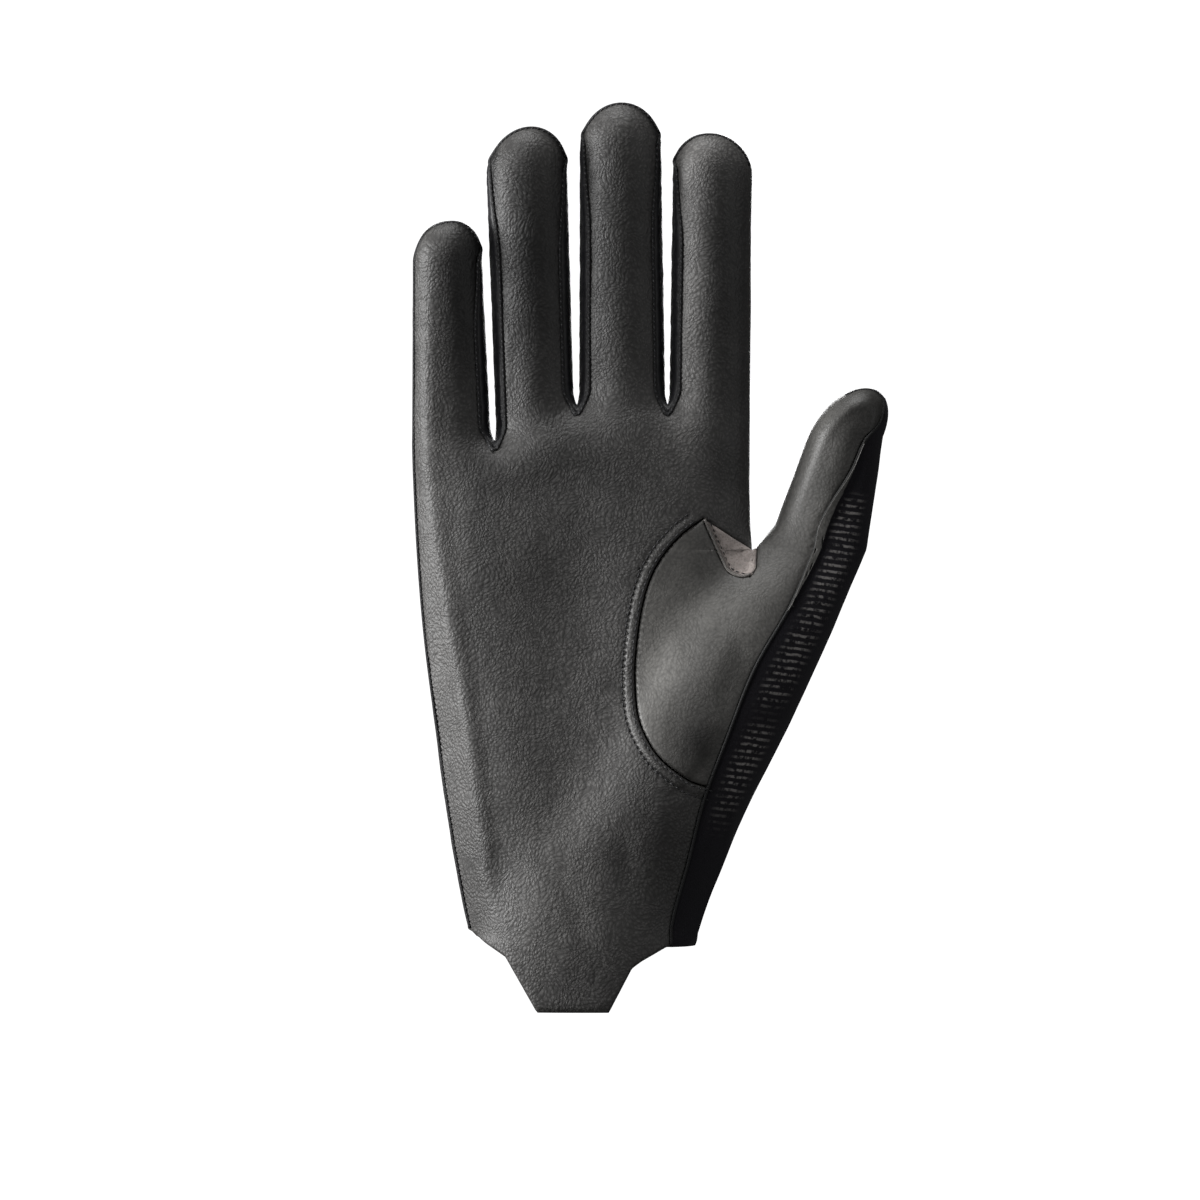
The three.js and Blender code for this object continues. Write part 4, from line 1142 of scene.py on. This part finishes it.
def leather_sheets():
    """The face sheet, cut along the thumb seam and round the gusset, as three sheets."""
    grids = face_grids()
    points, tris = weld(list(grids.values()))
    thumb_field, gusset_field = signed(THUMB_RING), signed(GUSSET_RING)
    for level in (-3.4, -2.9, -2.5, -2.0, -1.4, -0.8, -0.4, -0.15, 0.15, 0.4, 0.9, 1.6):
        points, tris = split(points, tris, thumb_field, level)
    for level in (-0.8, -0.4, -GUSSET_GAP, GUSSET_GAP, 0.5, 1.0):
        points, tris = split(points, tris, gusset_field, level)
    middle = points[tris].mean(1)
    in_thumb, in_gusset = thumb_field(middle), gusset_field(middle)
    palm = pick(points, tris, (in_thumb < -HALF_GAP) & (in_gusset < -GUSSET_GAP))
    thumb_ = pick(points, tris, (in_thumb > HALF_GAP) & (in_gusset < -GUSSET_GAP))
    gusset = pick(points, tris, in_gusset > GUSSET_GAP)
    return grids, palm, thumb_, gusset


def ride(obj, slot, *nodes):
    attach(obj, "root")
    if nodes:
        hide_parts(*nodes)
    return obj


def make_leathers(materials):
    grids, palm, thumb_, gusset = leather_sheets()
    seam = lambda p: distance_to(SEAM_LINE, p[:, 0], p[:, 2])

    points, tris = palm
    welt = np.interp(seam(points), WELT[:, 0], WELT[:, 1], right=0)
    relief = leather_relief(points) + welt * seam_fade(points)
    obj = thicken("palm_leather_sewn", points, tris, LEATHER, relief)
    # painted light and shade, times the dark seam edge with its painted shade
    set_attribute(obj, "painted_light_shade", np.tile(painted_light_and_shade_of(points) * dark_seam_and_painted_shade(points), 2))
    obj.data.materials.append(materials["palm"])
    ride(obj, "palm_leather", "palm_leather")

    points, tris = thumb_
    tuck = np.interp(seam(points), TUCK[:, 0], TUCK[:, 1], right=0)
    relief = leather_relief(points) + tuck * seam_fade(points)
    obj = thicken("thumb_leather_sewn", points, tris, LEATHER, relief)
    # painted light and shade on the thumb leather
    set_attribute(obj, "painted_light_shade", np.tile(painted_light_and_shade_of(points), 2))
    obj.data.materials.append(materials["thumb"])
    ride(obj, "thumb_leather", "thumb_leather")

    points, tris = gusset
    relief = 0.25 * fbm(points, 5, 2)
    obj = thicken("thumb_gusset_suede", points, tris, LEATHER, relief)
    obj.data.materials.append(materials["gusset"])
    ride(obj, "gusset_suede", "thumb_gusset")
    return grids


def make_back(materials):
    grids = back_grids()
    points, tris = weld(list(grids.values()))
    relief = 0.12 * fbm(points, 14, 3)
    obj = thicken("back_fabric_knit", points, tris, FABRIC, relief)
    h = points[:, 2] / PALM_HEIGHT
    inset = (points[:, 0] - side_seam(points[:, 2])) / np.maximum(thumb_strip(points[:, 2]), 1e-6)
    band = smooth(inset, 0.18, 0.4) * (1 - smooth(inset, 0.6, 0.85))
    rows = smooth(h, 0.2, 0.34) * (1 - smooth(h, 0.86, 0.9)) * (1 - 0.95 * np.exp(-((h - 0.452) / 0.03) ** 2))
    set_attribute(obj, "ribs", np.tile(np.where(points[:, 1] < 1, band * rows, 0), 2))
    obj.data.materials.append(materials["fabric"])
    ride(obj, "stretch_fabric", "back_fabric")
    return grids


def make_fork_strips(materials):
    for i, fork in enumerate(forks):
        points, tris = weld([strip_grid(digits[i], fork, 1), strip_grid(digits[i + 1], fork, -1)])
        relief = 0.14 * fbm(points, 3.0, 2, (1, 1, 0.7))
        name = f"fork_strip_{digits[i].name}_{digits[i + 1].name}"
        obj = thicken(name + "_sewn", points, tris, LEATHER, relief)
        set_attribute(obj, "painted_light_shade", np.ones(2 * len(points)))
        obj.data.materials.append(materials["fork"])
        ride(obj, "fork_leather", name)


def seam_paths(grids):
    """The seams on the palm side: the one round the fingers and the thumb's side seam."""
    around = []
    for digit in digits:
        rows = grids[digit.name]
        left, right, cap = rows[:, 0], rows[:, -1], rows[-1, 1:-1]
        if digit is digits[0]:
            around += to_face(left, digit, 0.55)
        else:
            left = left[left[:, 2] >= digit.left_fork.seam["front"] - HALF_GAP - 1e-6]
            low = left[:, 2] <= cap_start(digit)
            around += [*left[low], *to_face(left[~low], digit, 0.55)]
        around += to_face(cap, digit, 0.55)
        if digit.right_fork:
            right = right[right[:, 2] >= digit.right_fork.seam["front"] - HALF_GAP - 1e-6][::-1]
            low = right[:, 2] <= cap_start(digit)
            around += [*to_face(right[~low], digit, 0.55), *right[low]]
        else:
            around += to_face(right[right[:, 2] > digit.base][::-1], digit, 0.55)
    rows = grids["thumb"]
    right = rows[:, -1]
    low = right[:, 2] <= cap_start(thumb)
    left = rows[rows[:, 0, 2] > thumb.base + 0.8 * thumb.cap, 0][::-1]
    side = [*right[low], *to_face([*right[~low], *rows[-1, ::-1][1:-1], *left], thumb, 0.5)]
    return eased(np.array(around)), eased(np.array(side))


def eased(path):
    """An even path whose turns beside the fingertips are rounded."""
    path, _ = resample(path, 0.5)
    near = np.zeros(len(path))
    for digit in [*digits, thumb]:
        own = np.abs(path[:, 0] - digit.shape(digit.base)["x"]) < 1.1 * digit.half_base + 1
        near = np.maximum(near, own * smooth(path[:, 2], digit.base - 4, digit.base - 1))
    for _ in range(24):
        path[1:-1] += 0.5 * near[1:-1, None] * ((path[:-2] + path[2:]) / 2 - path[1:-1])
    return path


def to_face(path, digit, inset):
    """Moves points of a digit's outline in towards its middle, and forward on to its palm side."""
    out = []
    for x, y, z in path:
        middle = float(digit.shape(min(z, digit.base))["x"])
        way = np.array([middle - x, min(digit.base - z, 0.0)])
        if z < PALM_HEIGHT:
            way = np.array([1.0, 0.0])
        way = way / max(np.linalg.norm(way), 1e-6)
        x, z = x + way[0] * inset, z + way[1] * inset
        depth = float(depth_at(x, max(z, 0), "front"))
        out.append((x, y if math.isnan(depth) else -depth, z))
    return out


SEAM_PROBE = 10  # the point of the thumb seam that tells which side lies outside the thumb leather
THUMB_STITCH_ROWS = ((0.75, 0.3), (3.2, 0.0))  # distance from the seam and height over the leather
THUMB_STITCH = dict(pitch=1.7, length=1.2, radius=0.2, lift=0.16)
GUSSET_STITCH = dict(pitch=1.6, length=1.0, radius=0.15, lift=0.12)


def make_seams(grids, materials):
    around, side = seam_paths(grids)
    face = np.tile([0.0, -1.0, 0.0], (len(around), 1))
    cords = [tube(resample(around, 0.7)[0], 0.5, 8), tube(resample(side + [0.15, -0.1, 0], 0.7)[0], 0.4, 8)]
    obj = join_tubes("seam_cords", cords)
    obj.data.materials.append(materials["cord"])
    ride(obj, "stretch_fabric")
    threads = stitches(around + [0, -0.3, 0], face, 1.5, 1.0, 0.2, 0.28, 0.5)
    obj = join_tubes("finger_seam_stitches", threads)
    obj.data.materials.append(materials["thread"])
    ride(obj, "stretch_fabric")

    def on_face(line, lift):
        y = -depth_at(line[:, 0], line[:, 1], "front")
        return np.stack([line[:, 0], y - lift, line[:, 1]], -1)

    rows = []
    way = np.gradient(SEAM_LINE, axis=0)
    across = np.stack([way[:, 1], -way[:, 0]], -1) / np.hypot(way[:, 0], way[:, 1])[:, None]
    beside = (SEAM_LINE + across * 2)[SEAM_PROBE]
    outward = -1 if inside(THUMB_RING, *beside[:, None])[0] else 1
    for away, lift in THUMB_STITCH_ROWS:
        path = on_face(SEAM_LINE + across * away * outward, lift)[2:-3]
        rows += stitches(path, np.tile([0.0, -1.0, 0.0], (len(path), 1)), **THUMB_STITCH)
    gusset_left = on_face(smooth_line(GUSSET_RING[GUSSET_LEFT]) + [1.0, 0.6], 0.2)
    rows += stitches(gusset_left, np.tile([0.0, -1.0, 0.0], (len(gusset_left), 1)), **GUSSET_STITCH)
    obj = join_tubes("thumb_seam_stitches", rows)
    obj.data.materials.append(materials["thread"])
    ride(obj, "thumb_leather")
    edge = on_face(smooth_line(GUSSET_RING[GUSSET_LEFT + [7]]) + [0.1, 0.1], 0.1)
    obj = join_tubes("gusset_edge_roll", [tube(resample(edge, 0.6)[0], 0.38, 8)])
    obj.data.materials.append(materials["edge"])
    ride(obj, "thumb_leather")


def make_materials():
    return {
        "palm": leather("palm leather", rgb("434241")),
        "thumb": leather("thumb leather", rgb("494846"), roughness=0.48, crease=0.5, pebble=0.45),
        "gusset": suede("gusset suede", rgb("8a827e")),
        "fork": leather("fork strip leather", rgb("161619"), grain=0.8, roughness=0.5, crease=0.8,
            pebble=0.6),
        "fabric": ribbed_fabric("stretch fabric", rgb("222125"), rgb("868382")),
        "edge": thread("rolled edge of the gusset", rgb("6a6663"), 0.7),
        "cord": thread("seam cord", rgb("08080a"), 0.8),
        "thread": thread("stitching thread", rgb("1a1a1d"), 0.6),
    }


# Studio
FLOOR = -0.16  # height of the floor, and how far it reaches before it bends up, in metres
FLOOR_REACH = 3.2


def make_studio():
    scene = bpy.context.scene
    white = Tree("studio white")
    white.finish(Base_Color=(0.9, 0.9, 0.9, 1), Roughness=0.9, Emission_Color=(1, 1, 1, 1),
        Emission_Strength=1.0)
    turns, bend = 64, 0.8  # a round floor that bends up into a wall on every side
    profile = [(0.0, FLOOR), (FLOOR_REACH, FLOOR)]
    profile += [(FLOOR_REACH + bend * math.sin(a), FLOOR + bend * (1 - math.cos(a)))
        for a in np.linspace(0.15, math.pi / 2, 10)]
    profile += [(FLOOR_REACH + bend, 4.0)]
    angles = np.arange(turns) * 2 * math.pi / turns
    points = [(r * math.cos(a), r * math.sin(a), z) for r, z in profile for a in angles]
    faces = [
        (k * turns + i, k * turns + (i + 1) % turns, (k + 1) * turns + (i + 1) % turns, (k + 1) * turns + i)
        for k in range(len(profile) - 1) for i in range(turns)
    ]
    mesh = bpy.data.meshes.new("floor")
    mesh.from_pydata(points, [], faces)
    mesh.shade_smooth()
    floor = bpy.data.objects.new("studio_floor", mesh)
    scene.collection.objects.link(floor)
    floor.data.materials.append(white.material)
    floor.visible_glossy = False
    floor.visible_diffuse = False

    world = bpy.data.worlds.new("studio")
    world.use_nodes = True
    world.node_tree.nodes["Background"].inputs["Color"].default_value = (1, 1, 1, 1)
    world.node_tree.nodes["Background"].inputs["Strength"].default_value = 0.1
    scene.world = world

    def area(name, where, size, power, aim=(0, 0, 0.09)):
        light = bpy.data.lights.new(name, "AREA")
        light.shape, light.size, light.size_y, light.energy = "RECTANGLE", size[0], size[1], power
        obj = bpy.data.objects.new(name, light)
        obj.location = where
        obj.rotation_euler = (Vector(aim) - Vector(where)).to_track_quat("-Z", "Y").to_euler()
        scene.collection.objects.link(obj)

    area("key light from the left", (-0.92, -0.14, 0.2), (0.25, 0.4), 17)
    area("top light", (-0.1, -0.12, 1.0), (0.6, 0.3), 7)
    area("light on the back", (0.1, 1.5, 0.5), (0.8, 0.8), 22)
    area("weak light from the right", (0.85, -0.5, 0.05), (0.4, 0.6), 1.3)
    area("slanting fill", (-0.85, -0.8, 0.4), (0.5, 0.5), 6)


def make_camera():
    scene = bpy.context.scene
    data = bpy.data.cameras.new("camera")
    data.lens, data.sensor_width, data.clip_end = 250, 36, 20
    camera = bpy.data.objects.new("camera", data)
    camera.location = (0.00416, -2.1667, 0.0884)
    camera.rotation_euler = (math.pi / 2, 0, 0)
    scene.collection.objects.link(camera)
    scene.camera = camera


scene = bpy.context.scene
scene.view_settings.view_transform = "Standard"
scene.view_settings.look = "None"
make_camera()
make_studio()
materials = make_materials()
front_grids = make_leathers(materials)
make_back(materials)
make_fork_strips(materials)
make_seams(front_grids, materials)
